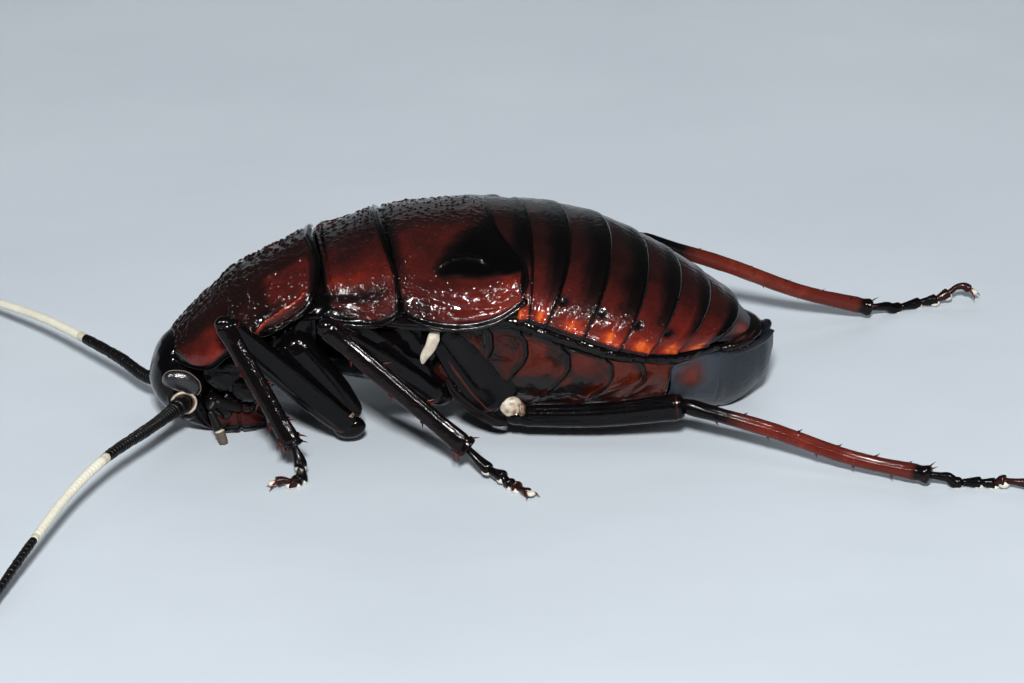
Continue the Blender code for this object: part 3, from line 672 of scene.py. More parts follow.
def metanotum():
    length = 8.2

    def swell(w, v):
        hind = 0.95 * bell(w, 0.8, 0.13) + 0.35 * rise(w, 0.9, 1.0) - 0.2 * bell(w, 0.5, 0.1)
        return hind * rise(v, 0.35, 1.0)

    def patch(w, v):
        top = np.interp(v, PATCH_V, PATCH_TOP_U)
        low = np.interp(v, PATCH_V, PATCH_LOW_U)
        ragged = 0.02 * (noise(w * 60, v * 9, 7) - 0.5)
        upper = rise(w + ragged, top - 0.03, top + 0.06)
        return upper * rise(w + ragged, low + 0.016, low - 0.016) * rise(v, 0.3, 0.42)

    def relief(u, v, w, a, b):
        arc = np.interp(v, CRESCENT_V, CRESCENT_U)
        on = rise(v, 0.32, 0.42) * rise(v, 0.79, 0.7)
        crescent = on * (0.11 * bell(w, arc, 0.008) - 0.09 * bell(w, arc + 0.028, 0.02))
        brace = 0.14 * bell(w, np.interp(v, BRACE_V, BRACE_U), 0.01)
        brace = brace * rise(v, 0.36, 0.28) * rise(v, 0.03, 0.08)
        flange = 0.1 * bell(w, np.interp(v, FLANGE_V, FLANGE_U), 0.012)
        calm = rise(w, 0.975, 0.955) * rise(v, 0.97, 0.94)
        low = rise(w, 0.815, 0.86) * (1 - patch(w, v)) * calm
        rough = low * (0.36 * noise(a * 0.9, b * 0.9, 4) + 0.11 * noise(a * 2.1, b * 2.1, 5) - 0.24)
        ribs = 0.05 * bell(w, 0.945, 0.016) * rise(v, 0.7, 0.3) * np.sin(b * 9 + 2 * noise(a * 2, b * 2, 2))
        top = (1 - rise(w, 0.6, 0.66)) * (0.04 * wrinkles(a * 1.3, b * 1.3, 6) - 0.02)
        dots = granules(a, b, 0.46, 0.12, 5, 0.6) * 0.07 * (1 - patch(w, v)) * calm
        rim = welt(w, 0.16, 0.99, 0.008, 0.1, 0.972, 0.009)
        hind = welt(v, 0.06, 0.988, 0.008, 0.05, 0.965, 0.012)
        lift = (0.02 - 0.2 * bell(w, 0.7, 0.11)) * rise(v, 0.75, 1.0) - 0.3 * rise(v, 0.05, -0.02)
        lines = lift + crescent + brace - flange
        return lines + rough + ribs + top + dots + rim + hind + 0.02 * noise(a * 5, b * 5, 8)

    def coat(u, v, w, a, b):
        warm = 0.46 + 0.12 * noise(a * 0.5, b * 0.5, 3) - 0.14 * (1 - rise(w, 0.55, 0.63))
        warm = warm + 0.08 * rise(w, 0.83, 0.88) + 0.12 * rise(w, 0.8, 0.86) * rise(v, 0.45, 0.9)
        warm = warm - 0.16 * rise(w, 0.86, 0.92) * rise(v, 0.45, 0.15)
        warm = warm - 0.26 * rise(w, 0.8, 0.74) * rise(v, 0.16, 0.0) - 0.1 * rise(v, 0.14, 0.02)
        warm = warm * (1 - patch(w, v))
        warm = warm - 0.45 * rise(w, 0.962, 0.976) - 0.5 * rise(v, 0.978, 0.986) - 0.4 * rise(v, 0.02, 0.0)
        satin = 0.1 + 0.06 * patch(w, v)
        return coat_of(np.clip(warm, 0, 1), satin, 0.5 * (1 - patch(w, v)))

    sheet = closed_sheet(dome(METANOTUM, swell), (ARC_LENGTH, length), (320, 144), relief, coat, start=-0.05)
    piece("metanotum_plate", [sheet], PLATE, "metanotum")


def mesonotum():
    length = 4.6

    def swell(w, v):
        return 0.35 * bell(w, 0.82, 0.12) * rise(v, 0.3, 1.0) - 0.7 * rise(w, 0.92, 1.0) * rise(v, 0.6, 0.0)

    def relief(u, v, w, a, b):
        a = a * 0.92
        ridge = 0.2 * bell(w, 0.77 + 0.02 * v, 0.04) * rise(v, 0.05, 0.22)
        valley = -0.2 * bell(w, 0.845, 0.03) * rise(v, 0.85, 0.35)
        low = rise(w, 0.84, 0.89)
        rough = low * (0.26 * noise(a * 1.0, b * 1.0, 14) + 0.1 * noise(a * 2.3, b * 2.3, 15) - 0.18)
        top = (1 - rise(w, 0.6, 0.68)) * (0.04 * wrinkles(a * 1.4, b * 1.2, 16) - 0.02)
        dots = granules(a, b, 0.44, 0.12, 15, 0.65) * 0.07
        rim = welt(w, 0.15, 0.99, 0.008, 0.08, 0.97, 0.01)
        hind = welt(v, 0.08, 0.978, 0.014, 0.08, 0.93, 0.02)
        front = -0.15 * bell(v, 0.13, 0.05) * rise(w, 0.93, 0.85)
        lift = 0.06 * rise(v, 0.7, 1.0) + 0.15 * bell(v, 0.16, 0.12) - 0.6 * rise(v, 0.1, -0.08)
        calm = rise(w, 0.975, 0.955) * rise(v, 0.95, 0.9) * rise(v, 0.04, 0.12)
        return lift + ridge + valley + (rough + top + dots) * calm + rim + hind + front

    def coat(u, v, w, a, b):
        warm = 0.42 + 0.12 * rise(w, 0.6, 0.74) + 0.12 * noise(a * 0.5, b * 0.6, 13) - 0.05
        # The red ridge is warmer in colour. The valley below it is darker: painted shade in the groove.
        warm = warm + 0.12 * bell(w, 0.785, 0.045) - 0.36 * bell(w, 0.855, 0.032) * rise(v, 0.95, 0.5)
        warm = warm - 0.5 * rise(v, 0.14, 0.05) - 0.15 * (1 - rise(w, 0.54, 0.64))
        warm = warm - 0.45 * rise(w, 0.955, 0.975) - 0.5 * rise(v, 0.95, 0.97)
        warm = warm - 0.35 * rise(w, 0.9, 0.94) * rise(v, 0.55, 0.25)
        return coat_of(np.clip(warm, 0, 1), 0.2, 0.5)

    sheet = closed_sheet(dome(MESONOTUM, swell), (ARC_LENGTH, length), (320, 100), relief, coat, start=-0.06)
    piece("mesonotum_plate", [sheet], PLATE, "mesonotum")


# The pronotum's own frame starts at the front of its midline and climbs backwards.
PRONOTUM_PITCH = math.radians(39.4)
PRONOTUM_LENGTH = 11.0
PRONOTUM_FRONT = (-19.8, 6.6)
# Run along it, half width, drop, lift.
PRONOTUM = curve_through(
    (
        (0.0, 2.6, 0.6, -0.4), (0.8, 4.2, 1.6, -0.2), (1.6, 5.15, 2.25, -0.12), (3.2, 5.95, 2.35, -0.05),
        (5.4, 6.8, 2.5, 0.0), (8.0, 7.4, 2.6, -0.12), (11.0, 7.6, 2.45, -0.4),
    )
)
# The hind margin: place across, then x and z.
PRONOTUM_EDGE = np.array(
    (
        (0.5, -9.85, 13.25), (0.55, -9.69, 13.19), (0.6, -9.61, 13.04), (0.65, -9.49, 12.78),
        (0.7, -9.52, 12.43), (0.75, -9.66, 12.0), (0.8, -9.79, 11.5), (0.85, -10.1, 11.0),
        (0.9, -10.5, 10.5), (0.95, -10.9, 10.1), (1.0, -11.3, 9.75),
    )
)
RIDGE_V = (0.53, 0.633, 0.792, 0.96)
RIDGE_U = (0.965, 0.905, 0.856, 0.811)
SULCUS_V = (0.6, 0.648, 0.665, 0.732, 0.8)
SULCUS_U = (0.79, 0.74, 0.674, 0.639, 0.6)


def pronotum_plane(u, v):
    s = v * PRONOTUM_LENGTH
    half, drop, lift = np.moveaxis(PRONOTUM(s), -1, 0)
    c, h = arch(u, 2.25, 2.05)
    h = drop * h - drop + lift
    cp, sp = math.cos(PRONOTUM_PITCH), math.sin(PRONOTUM_PITCH)
    return np.stack([PRONOTUM_FRONT[0] + s * cp - h * sp, half * c, PRONOTUM_FRONT[1] + s * sp + h * cp], -1)


def pronotum_surface(u, v):
    """The plain shield, bent at its rear to meet the hind margin."""
    points = pronotum_plane(u, v)
    rear = pronotum_plane(u, np.ones_like(v))
    bend = rise(v, 0.45, 1.0)
    for axis, column in ((0, 1), (2, 2)):
        margin = np.interp(side(u), PRONOTUM_EDGE[:, 0], PRONOTUM_EDGE[:, column])
        points[..., axis] += (margin - rear[..., axis]) * bend
    return points


def pronotum():
    across = 19.0

    def border(w, v):
        """How near the front or side edge is, in millimetres."""
        return np.minimum((1 - w) * across * 0.9, v * PRONOTUM_LENGTH + (1 - w) * 2)

    def ridge(w, v, shift=0.0, width=0.02):
        along = rise(v, 0.46, 0.54) * rise(v, 0.99, 0.93)
        return bell(w, np.interp(v, RIDGE_V, RIDGE_U) + shift, width) * along

    def relief(u, v, w, a, b):
        d = border(w, v)
        rim = welt(d, 0.14, 0.16, 0.13, 0.1, 0.5, 0.18)
        streak = 0.24 * ridge(w, v) - 0.12 * ridge(w, v, -0.04, 0.016) - 0.22 * ridge(w, v, 0.05, 0.022)
        sulcus = -0.16 * bell(w, np.interp(v, SULCUS_V, SULCUS_U), 0.014)
        sulcus = sulcus * rise(v, 0.59, 0.63) * rise(v, 0.82, 0.76)
        lobe = 0.2 * bell(w, 0.85, 0.1) * bell(v, 0.19, 0.1)
        dents = -0.26 * bell(w, 0.69, 0.05) * bell(v, 0.42, 0.06)
        dents = dents - 0.2 * bell(w, 0.8, 0.05) * bell(v, 0.5, 0.05)
        top = 1 - rise(w, 0.58, 0.68)
        rough = top * (0.07 * wrinkles(a * 1.4, b * 0.8, 24) - 0.03)
        dots = granules(a, b, 0.46, 0.14, 25, 0.6) * (0.07 + 0.05 * rise(v, 0.4, 0.52))
        pits = -0.07 * granules(a, b, 0.34, 0.1, 28, 0.6) * top
        hind = welt(v, 0.06, 0.99, 0.008, 0.06, 0.965, 0.014)
        mound = rim + streak + sulcus + lobe + dents
        calm = rise(d, 0.6, 1.0) * rise(v, 0.965, 0.93)
        calm = calm * (1 - 0.75 * rise(w, 0.68, 0.76) * rise(v, 0.42, 0.34))
        return mound + (rough + dots + pits) * calm + hind + 0.012 * noise(a * 5, b * 5, 27) * calm

    def coat(u, v, w, a, b):
        d = border(w, v)
        red = rise(w, 0.66, 0.76) * rise(v, 0.02, 0.1) * rise(v, 0.4, 0.3)
        warm = 0.32 + (0.28 + 0.16 * rise(w, 0.76, 0.92)) * red + 0.14 * noise(a * 0.5, b * 0.5, 23) - 0.07
        hind = rise(w, 0.55, 0.64) * rise(v, 0.6, 0.74) * rise(v, 0.97, 0.93)
        warm = np.maximum(warm, (0.58 + 0.08 * noise(a * 0.6, b * 0.6, 29)) * hind)
        warm = warm - 0.22 * ridge(w, v, -0.055, 0.035) * rise(v, 0.9, 0.7)
        warm = np.maximum(warm, 0.86 * ridge(w, v, 0.0, 0.026))
        warm = warm * rise(d, 0.45, 1.15) * (1 - ridge(w, v, 0.075, 0.035)) - 0.6 * rise(v, 0.968, 0.98)
        return coat_of(np.clip(warm, 0, 1), 0.12, 0.35)

    sheet = closed_sheet(pronotum_surface, (across, PRONOTUM_LENGTH), (300, 160), relief, coat)
    piece("pronotum_plate", [sheet], PLATE, "pronotum")


# Belly plates. Each hind edge: deck x, z, half width, keel x, z.
STERNITE_MARGINS = (
    (-1.6, 9.0, 7.6, -1.9, 2.6), (1.6, 8.9, 8.3, 0.1, 2.1), (3.75, 8.6, 9.2, 2.4, 1.6),
    (6.45, 7.6, 9.8, 5.3, 1.3), (9.3, 6.5, 9.6, 8.3, 1.15), (11.5, 6.0, 8.9, 10.7, 1.1),
    (13.4, 5.4, 7.9, 12.9, 1.0),
)


def sternite(n):
    rows = np.array(STERNITE_MARGINS[n - 1 : n + 1]) + (0, 0.12, 0, 0, 0)
    length = rows[1][0] - rows[0][0]

    def swell(w, v):
        slant = 0.35 * bell(w, 0.91, 0.05) - 1.8 * rise(w, 0.95, 0.58) - 0.45 * rise(w, 0.965, 1.0)
        return slant * (1.0 if n < 6 else rise(v, 1.0, 0.2))

    def relief(u, v, w, a, b):
        step = 0.08 * rise(v, 0.6, 0.97) - 0.25 * rise(v, 0.12, -0.04)
        rim = welt(v, 0.03, 0.975, 0.02, 0.04, 0.9, 0.03)
        fold = 0.1 * wrinkles(a * 0.55, b * 0.55, n + 30) + 0.03 * wrinkles(a * 2.5, b * 2.5, n + 31)
        sides = 0.08 * bell(near_edge(u), 0.97, 0.015)
        return step + rim + fold + sides + 0.012 * noise(a * 6, b * 6, n + 33)

    def coat(u, v, w, a, b):
        e = near_edge(u)
        cloud = noise(a * 0.55 + 3 * n, b * 0.8, n + 35) * 0.6 + noise(a * 1.3, b * 1.5, n + 36) * 0.4
        red = rise(cloud, 0.3, 0.66) * rise(e, 0.22, 0.5) * (0.56 if n < 3 else 0.74)
        warm = 0.22 + 0.6 * red
        if n > 4:
            warm = 0.36 + 0.36 * rise(cloud, 0.15, 0.5) * rise(e, 0.2, 0.45)
        warm = warm * rise(v, 0.99, 0.93) * rise(v, 0.0, 0.1) * rise(e, 0.995, 0.965)
        return coat_of(np.clip(warm, 0, 1), 0.25, 0.15)

    sheet = closed_sheet(keel(rows, swell), (ARC_LENGTH, length), (200, 44), relief, coat, 0.14)
    stands_for = [f"sternite_{n}"] if n > 1 else []
    piece(f"belly_plate_{n}", [sheet], BELLY, *stands_for)


# x, half width, deck z, keel z
SUBGENITAL = curve_through(
    (
        (13.7, 7.5, 5.15, 0.95), (15.5, 6.45, 5.2, 0.35), (17.0, 5.3, 4.95, -0.06),
        (18.5, 4.15, 4.75, 0.08), (19.9, 2.9, 4.75, 0.95), (20.8, 1.75, 4.8, 2.0), (21.25, 0.7, 4.85, 3.45),
    )
)


def subgenital_plate():
    start, end = 13.55, 21.25

    def surface(u, v):
        x = start + (end - start) * (1 - (1 - v) ** 1.25)
        half, deck, low = np.moveaxis(SUBGENITAL(x), -1, 0)
        c, s = arch(u, 2.0, 2.2)
        return np.stack([x, half * c, deck + (low - deck) * s], -1)

    def relief(u, v, w, a, b):
        fold = 0.14 * wrinkles(a * 0.4, b * 0.4, 40) * rise(v, 0.75, 0.4)
        slit = -0.06 * bell(v, 0.36 + 0.1 * (w - 0.8), 0.012) * rise(w, 0.68, 0.78)
        notch = -0.35 * bell(v, 0.05, 0.035) * bell(w, 0.88, 0.1)
        rim = 0.1 * bell(near_edge(u), 0.985, 0.012)
        return fold + slit + notch + rim + 0.02 * noise(a * 4, b * 4, 41) - 0.3 * rise(v, 0.05, 0.0)

    def coat(u, v, w, a, b):
        patch = 0.85 * bell(w, 0.92, 0.065) * bell(v, 0.14, 0.09)
        mark = bell(w, 0.8, 0.03) * bell(v, 0.42, 0.012)
        # Painted sheen: the near lower front is lifted towards blue-grey, the pale floor's reflection laid
        # into the colour; it is also made rougher there.
        painted_sheen_area = rise(v, 0.6, 0.2) * rise(w, 0.58, 0.75) * (0.6 + 0.4 * noise(a * 0.7, b * 0.7, 43))
        warm = 0.04 + 0.14 * painted_sheen_area + 0.05 * noise(a * 0.5, b * 0.5, 42)
        warm = warm + (0.66 - warm) * patch + 0.45 * mark
        return coat_of(warm, 0.4 + 0.2 * painted_sheen_area, 0.1)

    sheet = closed_sheet(surface, (18, end - start), (200, 96), relief, coat, 0.28)
    piece("last_belly_plate", [sheet], TAIL, "subgenital_plate")


# edge x, z, half width, midline x, z
SUPRA_ANAL = (
    (16.6, 5.75, 5.3, 18.6, 6.95), (17.05, 5.65, 4.9, 18.95, 6.62), (18.3, 5.25, 3.4, 19.62, 5.78),
    (19.6, 4.75, 2.0, 20.32, 5.02), (20.7, 4.75, 0.95, 20.98, 5.12),
)


def supra_anal_plate():
    def relief(u, v, w, a, b):
        tip = 0.26 * rise(v, 0.86, 1.0) * bell(u, 0.5, 0.3)
        rim = 0.08 * bell(near_edge(u), 0.96, 0.03)
        return tip + 0.05 * wrinkles(a, b, 45) - 0.3 * rise(v, 0.12, 0.0) + rim

    def coat(u, v, w, a, b):
        red = bell(w, 0.78, 0.12) * bell(v, 0.4, 0.2)
        warm = (0.22 + 0.4 * red) * rise(v, 0.88, 0.7)
        return coat_of(warm, 0.6 * rise(v, 0.85, 0.7), 0.1)

    sheet = closed_sheet(dome(SUPRA_ANAL), (8, 4), (120, 70), relief, coat, 0.3)
    piece("last_back_plate", [sheet], TAIL, "supra_anal_plate")


CERCUS = ((16.95, 5.2, 5.25), (18.2, 4.6, 5.2), (19.5, 3.7, 5.3))
CERCUS_JOINTS = 9
CERCUS_HAIRS = 70


def cercus(name, way):
    count = 91
    path = smooth_path(mirrored(CERCUS, way), count)
    t = np.linspace(0, 1, count)
    width = 0.36 * np.sqrt(np.clip(t * 14, 0, 1)) * (1.02 - 0.55 * t**2) * (1 - rise(t, 0.94, 1.0) * 0.9)
    width = width * (1 - 0.16 * np.abs(np.cos(np.pi * CERCUS_JOINTS * t)) ** 6)
    parts = [tube(path, width, width * 0.85, (0, 0, 1), (0.12, 0.2, 0.4), 18)]
    for n in range(CERCUS_HAIRS):
        k = 8 + int(78 * scatter(n, 1, 3))
        turn = 2 * math.pi * scatter(n, 2, 5)
        out = np.array([0.25, math.cos(turn), math.sin(turn)])
        root = path[k] + out * width[k] * 0.8
        end = root + unit(out + (0.5, 0, 0)) * (0.45 + 0.35 * scatter(n, 3, 7))
        parts.append(spike(root, end, 0.018, (0.5, 0.3, 0), sides=4))
    piece(f"cercus_{name}_piece", parts, PLATE, f"cercus_{name}")


# edge x, z, half width, midline x, z of the dark skin under the front plates
CORE_FRONT = (
    (-12.2, 8.9, 6.0, -11.8, 10.9), (-10.6, 9.35, 6.9, -10.2, 12.1), (-9.2, 9.55, 7.5, -9.0, 12.45),
    (-6.5, 9.1, 8.2, -6.8, 13.2), (-3.5, 8.9, 8.8, -3.8, 13.8), (0.0, 8.8, 9.3, -0.4, 14.0),
)


def body_core():
    """Dark membrane just under the plates, seen in the seams between them."""
    turn = turns(72)
    c, s = np.cos(turn), np.sin(turn)
    rings = []
    for x, z, half, top_x, top_z in CORE_FRONT:
        top = np.stack([x + (top_x - x) * s, half * c, z + (top_z - z) * s], -1)
        bottom = np.stack([x + 0 * s, half * 0.8 * c, z + 0.9 * s], -1)
        rings.append(np.where((s >= 0)[:, None], top, bottom))
    for n, (x, z, half, top_x, top_z) in enumerate((METANOTUM_HIND,) + TERGITE_HINDS[1:]):
        low = STERNITE_MARGINS[min(n + 1, len(STERNITE_MARGINS) - 1)]
        top = np.stack([x + (top_x - x) * s, half * 0.955 * c, z + (top_z - z) * s * 0.93], -1)
        deep = z - low[4] - 0.75
        bottom = np.stack([x + 0.9 * s, low[2] * 0.92 * c, z - 0.1 + deep * s], -1)
        rings.append(np.where((s >= 0)[:, None], top, bottom))
    rings[-1] = rings[-1].mean(0) + (rings[-1] - rings[-1].mean(0)) * 0.8

    def relief(t, angle):
        return 0.1 * wrinkles(t * 24, angle * 6, 50) - 0.05

    parts = [loft(finer(rings, 140), (0.12, 0.1, 0.3), relief)]
    parts.append(ball((17.6, 0, 5.15), (3.0, 4.2, 0.75), (0.08, 0.3, 0.1), 40, relief))
    piece("body_core", parts, PLATE)


PLEURA = (
    (0.3, 8.7, 9.2), (2.6, 9.15, 9.25), (4.4, 9.75, 8.75), (7.0, 10.05, 7.75), (9.6, 9.8, 6.7),
    (11.7, 9.1, 6.15), (13.6, 8.0, 5.65), (15.8, 6.3, 5.5), (17.2, 5.2, 5.4),
)


def pleura(name, way):
    """Black folded band between the back plates and the belly plates."""
    path = smooth_path(mirrored(PLEURA, way), 260)

    def relief(t, angle):
        return 0.09 * wrinkles(t * 26, angle * 0.8, 60) + 0.03 * wrinkles(t * 70, angle * 2, 61) - 0.06

    width = np.interp(np.linspace(0, 1, len(path)), (0, 0.25, 1), (0.5, 0.32, 0.26))
    width = width * round_ends(len(path), 0.05, 0.08)
    band = tube(path, width, width * 0.6, (0, way, 0.2), (0.1, 0.1, 0.2), 28, relief)
    piece(f"pleura_{name}", [band], PLATE)


# x, deck z, half width, keel z
PTEROTHORAX = (
    (-9.6, 9.6, 6.4, 3.6), (-6.6, 9.55, 7.4, 3.0), (-3.4, 8.9, 7.8, 2.4), (-0.6, 8.4, 7.0, 2.4),
    (1.2, 8.7, 6.4, 2.6),
)
PROTHORAX = ((-17.2, 5.3, 2.8, 2.2), (-14.8, 6.5, 4.4, 2.2), (-12.4, 8.2, 5.6, 2.9), (-9.9, 9.9, 6.2, 3.4))


def underside(name, rows, power, seed):
    """The chest between the legs, with folds and small plates."""
    turn = turns(120)
    c, s = powered(np.cos(turn), 2 / power), np.sin(turn)
    rings = []
    for x, deck, half, low in rows:
        z = np.where(s < 0, deck + (deck - low) * s, deck + 0.3 * s)
        rings.append(np.stack([np.full(len(turn), x), half * c, z], -1))

    def relief(t, angle):
        big = wrinkles(t * 5.5, angle * 3.5, seed)
        return 0.26 * big + 0.06 * wrinkles(t * 18, angle * 11, seed + 1) - 0.25

    def coat(t, angle):
        seam = rise(wrinkles(t * 5.5, angle * 3.5, seed), 0.35, 0.1)
        return coat_of(0.06 + 0.28 * seam * noise(t * 7, angle * 3, seed + 2), 0.1, 0.1)

    piece(f"{name}_underside", [loft(finer(rings, 110), coat, relief)], LEG, name)


def folded(angle):
    """The turn from the front, 0 to pi, the same on both sides."""
    return np.abs((angle + np.pi) % (2 * np.pi) - np.pi)


# Head
HEAD_START = (-18.0, 5.0)
HEAD_PITCH = math.radians(-55)
# along, face side, back side, half width
HEAD = curve_through(
    (
        (-2.2, 0.85, -0.6, 1.0), (-2.0, 1.35, -1.1, 1.85), (-1.6, 2.0, -1.4, 2.45),
        (-0.83, 2.9, -1.55, 2.95), (0.23, 3.38, -1.2, 3.15), (1.3, 3.38, -0.55, 3.05),
        (2.64, 3.02, 0.45, 2.6), (3.89, 2.32, 1.2, 1.85), (4.65, 1.85, 1.45, 1.1),
    )
)
SOCKET_ALONG, SOCKET_OUT = 1.38, 1.85


def head_point(along, y, out):
    c, s = math.cos(HEAD_PITCH), math.sin(HEAD_PITCH)
    along, y, out = np.broadcast_arrays(along, y, out)
    return np.stack([HEAD_START[0] + along * c + out * s, y, HEAD_START[1] + along * s - out * c], -1)


def head_side(along, out, way):
    """The point on the side of the head at these coordinates."""
    face, back, half = np.moveaxis(HEAD(along), -1, 0)
    middle, deep = (face + back) / 2, (face - back) / 2
    cover = np.clip(1 - np.abs((out - middle) / deep) ** 2.2, 0, 1) ** (1 / 2.2)
    return head_point(along, way * half * cover, out)


def head():
    t = np.linspace(0, 1, 150)
    along = -2.2 + 6.85 * (t - 0.35 * np.sin(2 * np.pi * t) / (2 * np.pi))
    face, back, half = (column[:, None] for column in np.moveaxis(HEAD(along), -1, 0))
    turn = turns(180)[None]
    y = half * powered(np.sin(turn), 0.9)
    out = (face + back) / 2 + (face - back) / 2 * powered(np.cos(turn), 0.9)
    rings = head_point(along[:, None], y, out)

    def relief(t, angle):
        k = along[:, None]
        f = folded(angle)
        pit = -0.42 * rise(np.hypot(k - SOCKET_ALONG, (f - 1.36) * 2.5), 1.0, 0.55)
        brow = 0.1 * bell(np.hypot(k - SOCKET_ALONG, (f - 1.36) * 2.5), 1.18, 0.16)
        clypeus = -0.12 * bell(k, 2.75 + 0.25 * np.cos(f * 1.4), 0.1) * rise(f, 1.5, 1.1)
        labrum = -0.12 * bell(k, 3.65, 0.09) * rise(f, 1.4, 1.0)
        cheek = -0.16 * bell(f, 1.75 - 0.1 * (k - 1.5), 0.07) * rise(k, 1.4, 1.9)
        jaw = 0.16 * bell(f, 2.05, 0.25) * bell(k, 2.9, 0.7)
        bulge = 0.1 * bell(f, 1.05, 0.4) * bell(k, 2.4, 0.6)
        fine = 0.035 * wrinkles(k * 1.6, f * 4, 70) + 0.012 * noise(k * 9, f * 16, 71)
        return pit + brow + clypeus + labrum + cheek + jaw + bulge + fine - 0.03

    def coat(t, angle):
        k = along[:, None]
        f = folded(angle)
        warm = 0.03 + 0.28 * rise(k, 3.5, 4.4) + 0.15 * bell(f, 1.75, 0.15) * rise(k, 2.4, 3.2)
        return coat_of(warm, 0.16 + 0.2 * rise(k, 1.5, 2.5), 0.12)

    parts = [loft(rings, coat, relief)]
    piece("head_capsule", parts, LEG, "head")


def neck():
    """Dark folds and small plates between the head and the shield, with an amber spot."""
    parts = []

    def folds(t, angle):
        return 0.2 * noise(t * 5, angle * 1.5, 101) + 0.05 * granules(t * 3.2, angle * 1.0, 0.24, 0.1, 103)

    for way in SIDES.values():
        parts.append(ball((-15.4, way * 3.6, 5.3), (2.0, 0.9, 1.5), (0.0, 0.0, 0.9), 44, folds))
        parts.append(ball((-14.3, way * 4.1, 4.3), (1.3, 0.7, 1.1), (0.0, 0.0, 0.9), 36, folds))
        parts.append(ball((-14.85, way * 4.62, 5.15), (0.16, 0.12, 0.24), (0.8, 0.1, 0.2), 16))
        cord = smooth_path(mirrored([(-15.6, 4.3, 5.0), (-14.7, 4.5, 4.2), (-13.9, 4.4, 3.1)], way), 40)
        parts.append(tube(cord, 0.22, 0.22, (0, way, 0), (0.08, 0.1, 0), 16))
    piece("neck_folds", parts, LEG)


def sockets():
    """Pale membrane rings that the feelers stand in."""
    parts = []
    turn = np.linspace(0, 2 * np.pi, 49)
    for way in SIDES.values():
        for radius, half, sink, warmth in ((0.8, 0.09, 0.0, 0.7), (0.68, 0.09, 0.08, 0.05)):
            ring = head_side(SOCKET_ALONG + radius * np.sin(turn), SOCKET_OUT + radius * np.cos(turn), way)
            ring = ring - np.array([-0.25, way, 0.0]) * sink
            wave = half * (1 + 0.1 * np.sin(5 * turn))
            parts.append(tube(ring, wave, wave * 0.7, (-0.3, way, 0.1), (warmth, 0.2, 0), 12))
    piece("feeler_sockets", parts, SKIN)


EYE_SPINE = ((-0.62, 2.05), (-0.42, 1.38), (0.15, 0.86), (0.85, 0.7), (1.42, 0.78))
EYE_HALF = (0.32, 0.6, 0.7, 0.64, 0.34)


def eye(name, way):
    spine = np.array(EYE_SPINE)
    path = smooth_path(head_side(spine[:, 0], spine[:, 1], way), 60)
    t = np.linspace(0, 1, len(path))
    half = np.interp(t, np.linspace(0, 1, len(EYE_HALF)), EYE_HALF) * round_ends(len(path), 0.22, 0.22) ** 0.8
    hint = np.array((-0.25, way * 0.95, 0.1))
    bean = tube(path, half, np.minimum(half * 0.8, 0.42), hint, (0.3, 0, 0), 48, power=0.95)
    ahead = unit(np.gradient(path, axis=0))
    broad, flat = across_limb(ahead, hint)
    broad = broad * half[:, None] * 1.03
    lift = flat * 0.1
    out, back = path + broad + lift, path - broad + lift
    outline = np.concatenate([out, back[::-1], out[:1]])
    rim = tube(smooth_path(outline[::3], 150), 0.026, 0.026, hint, (0.58, 0.5, 0), 8)
    piece(f"eye_{name}_rim", [rim], FEELER)
    piece(f"eye_{name}_lens", [bean], EYE, f"eye_{name}")


# x, half width, half depth
MOUTH = ((-16.75, 1.9, 1.2), (-16.0, 2.45, 1.6), (-15.0, 2.5, 1.65), (-14.1, 2.1, 1.35), (-13.2, 1.2, 0.8))
MOUTH_BOTTOM = 0.1


def mouthparts():
    turn = turns(90)
    c, s = powered(np.cos(turn), 0.6), powered(np.sin(turn), 0.6)
    rings = []
    for x, half, deep in MOUTH:
        rings.append(np.stack([np.full(len(turn), x), half * s, MOUTH_BOTTOM + deep * (1 + c)], -1))

    def relief(t, angle):
        f = folded(angle)
        lobes = -0.3 * bell(f, 1.15 + 0.5 * t, 0.1) - 0.22 * bell(f, 2.25 - 0.2 * t, 0.08)
        seams = -0.2 * bell(t, 0.42 + 0.04 * f, 0.03) * rise(f, 0.9, 1.3) - 0.12 * bell(f, np.pi, 0.06)
        return lobes + seams + 0.1 * wrinkles(t * 5, f * 3, 75)

    def coat(t, angle):
        f = folded(angle)
        red = bell(f, 1.55 + 0.3 * t, 0.35)
        warm = 0.1 + 0.26 * red + 0.12 * bell(f, 1.15 + 0.5 * t, 0.12) - 0.2 * bell(f, 2.25 - 0.2 * t, 0.1)
        return coat_of(warm, 0.45, 0.1)

    parts = [loft(finer(rings, 80), coat, relief)]
    for way in SIDES.values():
        jaw = smooth_path(mirrored([(-17.3, 2.2, 2.9), (-16.2, 2.75, 2.3), (-15.7, 1.9, 1.1)], way), 24)
        width = np.linspace(0.75, 0.35, 24) * round_ends(24, 0.3, 0.3)
        parts.append(tube(jaw, width, width * 0.8, (0, way, 0), (0.16, 0.3, 0), power=0.9))
        parts.append(ball((-14.55, way * 3.0, 2.35), (0.42, 0.36, 0.4), (0.26, 0.1, 0.2), 20))
    piece("mouth", parts, LEG, "mouthparts")


# Joints of a mouth feeler: start, end, half width at each, warmth.
PALP = (
    ((-14.9, 2.95, 2.2), (-16.75, 3.35, 2.92), 0.26, 0.36, 0.1),
    ((-16.7, 3.35, 2.92), (-17.05, 3.65, 2.45), 0.3, 0.3, 0.12),
    ((-17.05, 3.65, 2.45), (-16.5, 3.82, 1.05), 0.2, 0.34, 0.1),
    ((-16.5, 3.82, 1.08), (-16.2, 3.9, 0.1), 0.36, 0.3, 0.42),
)


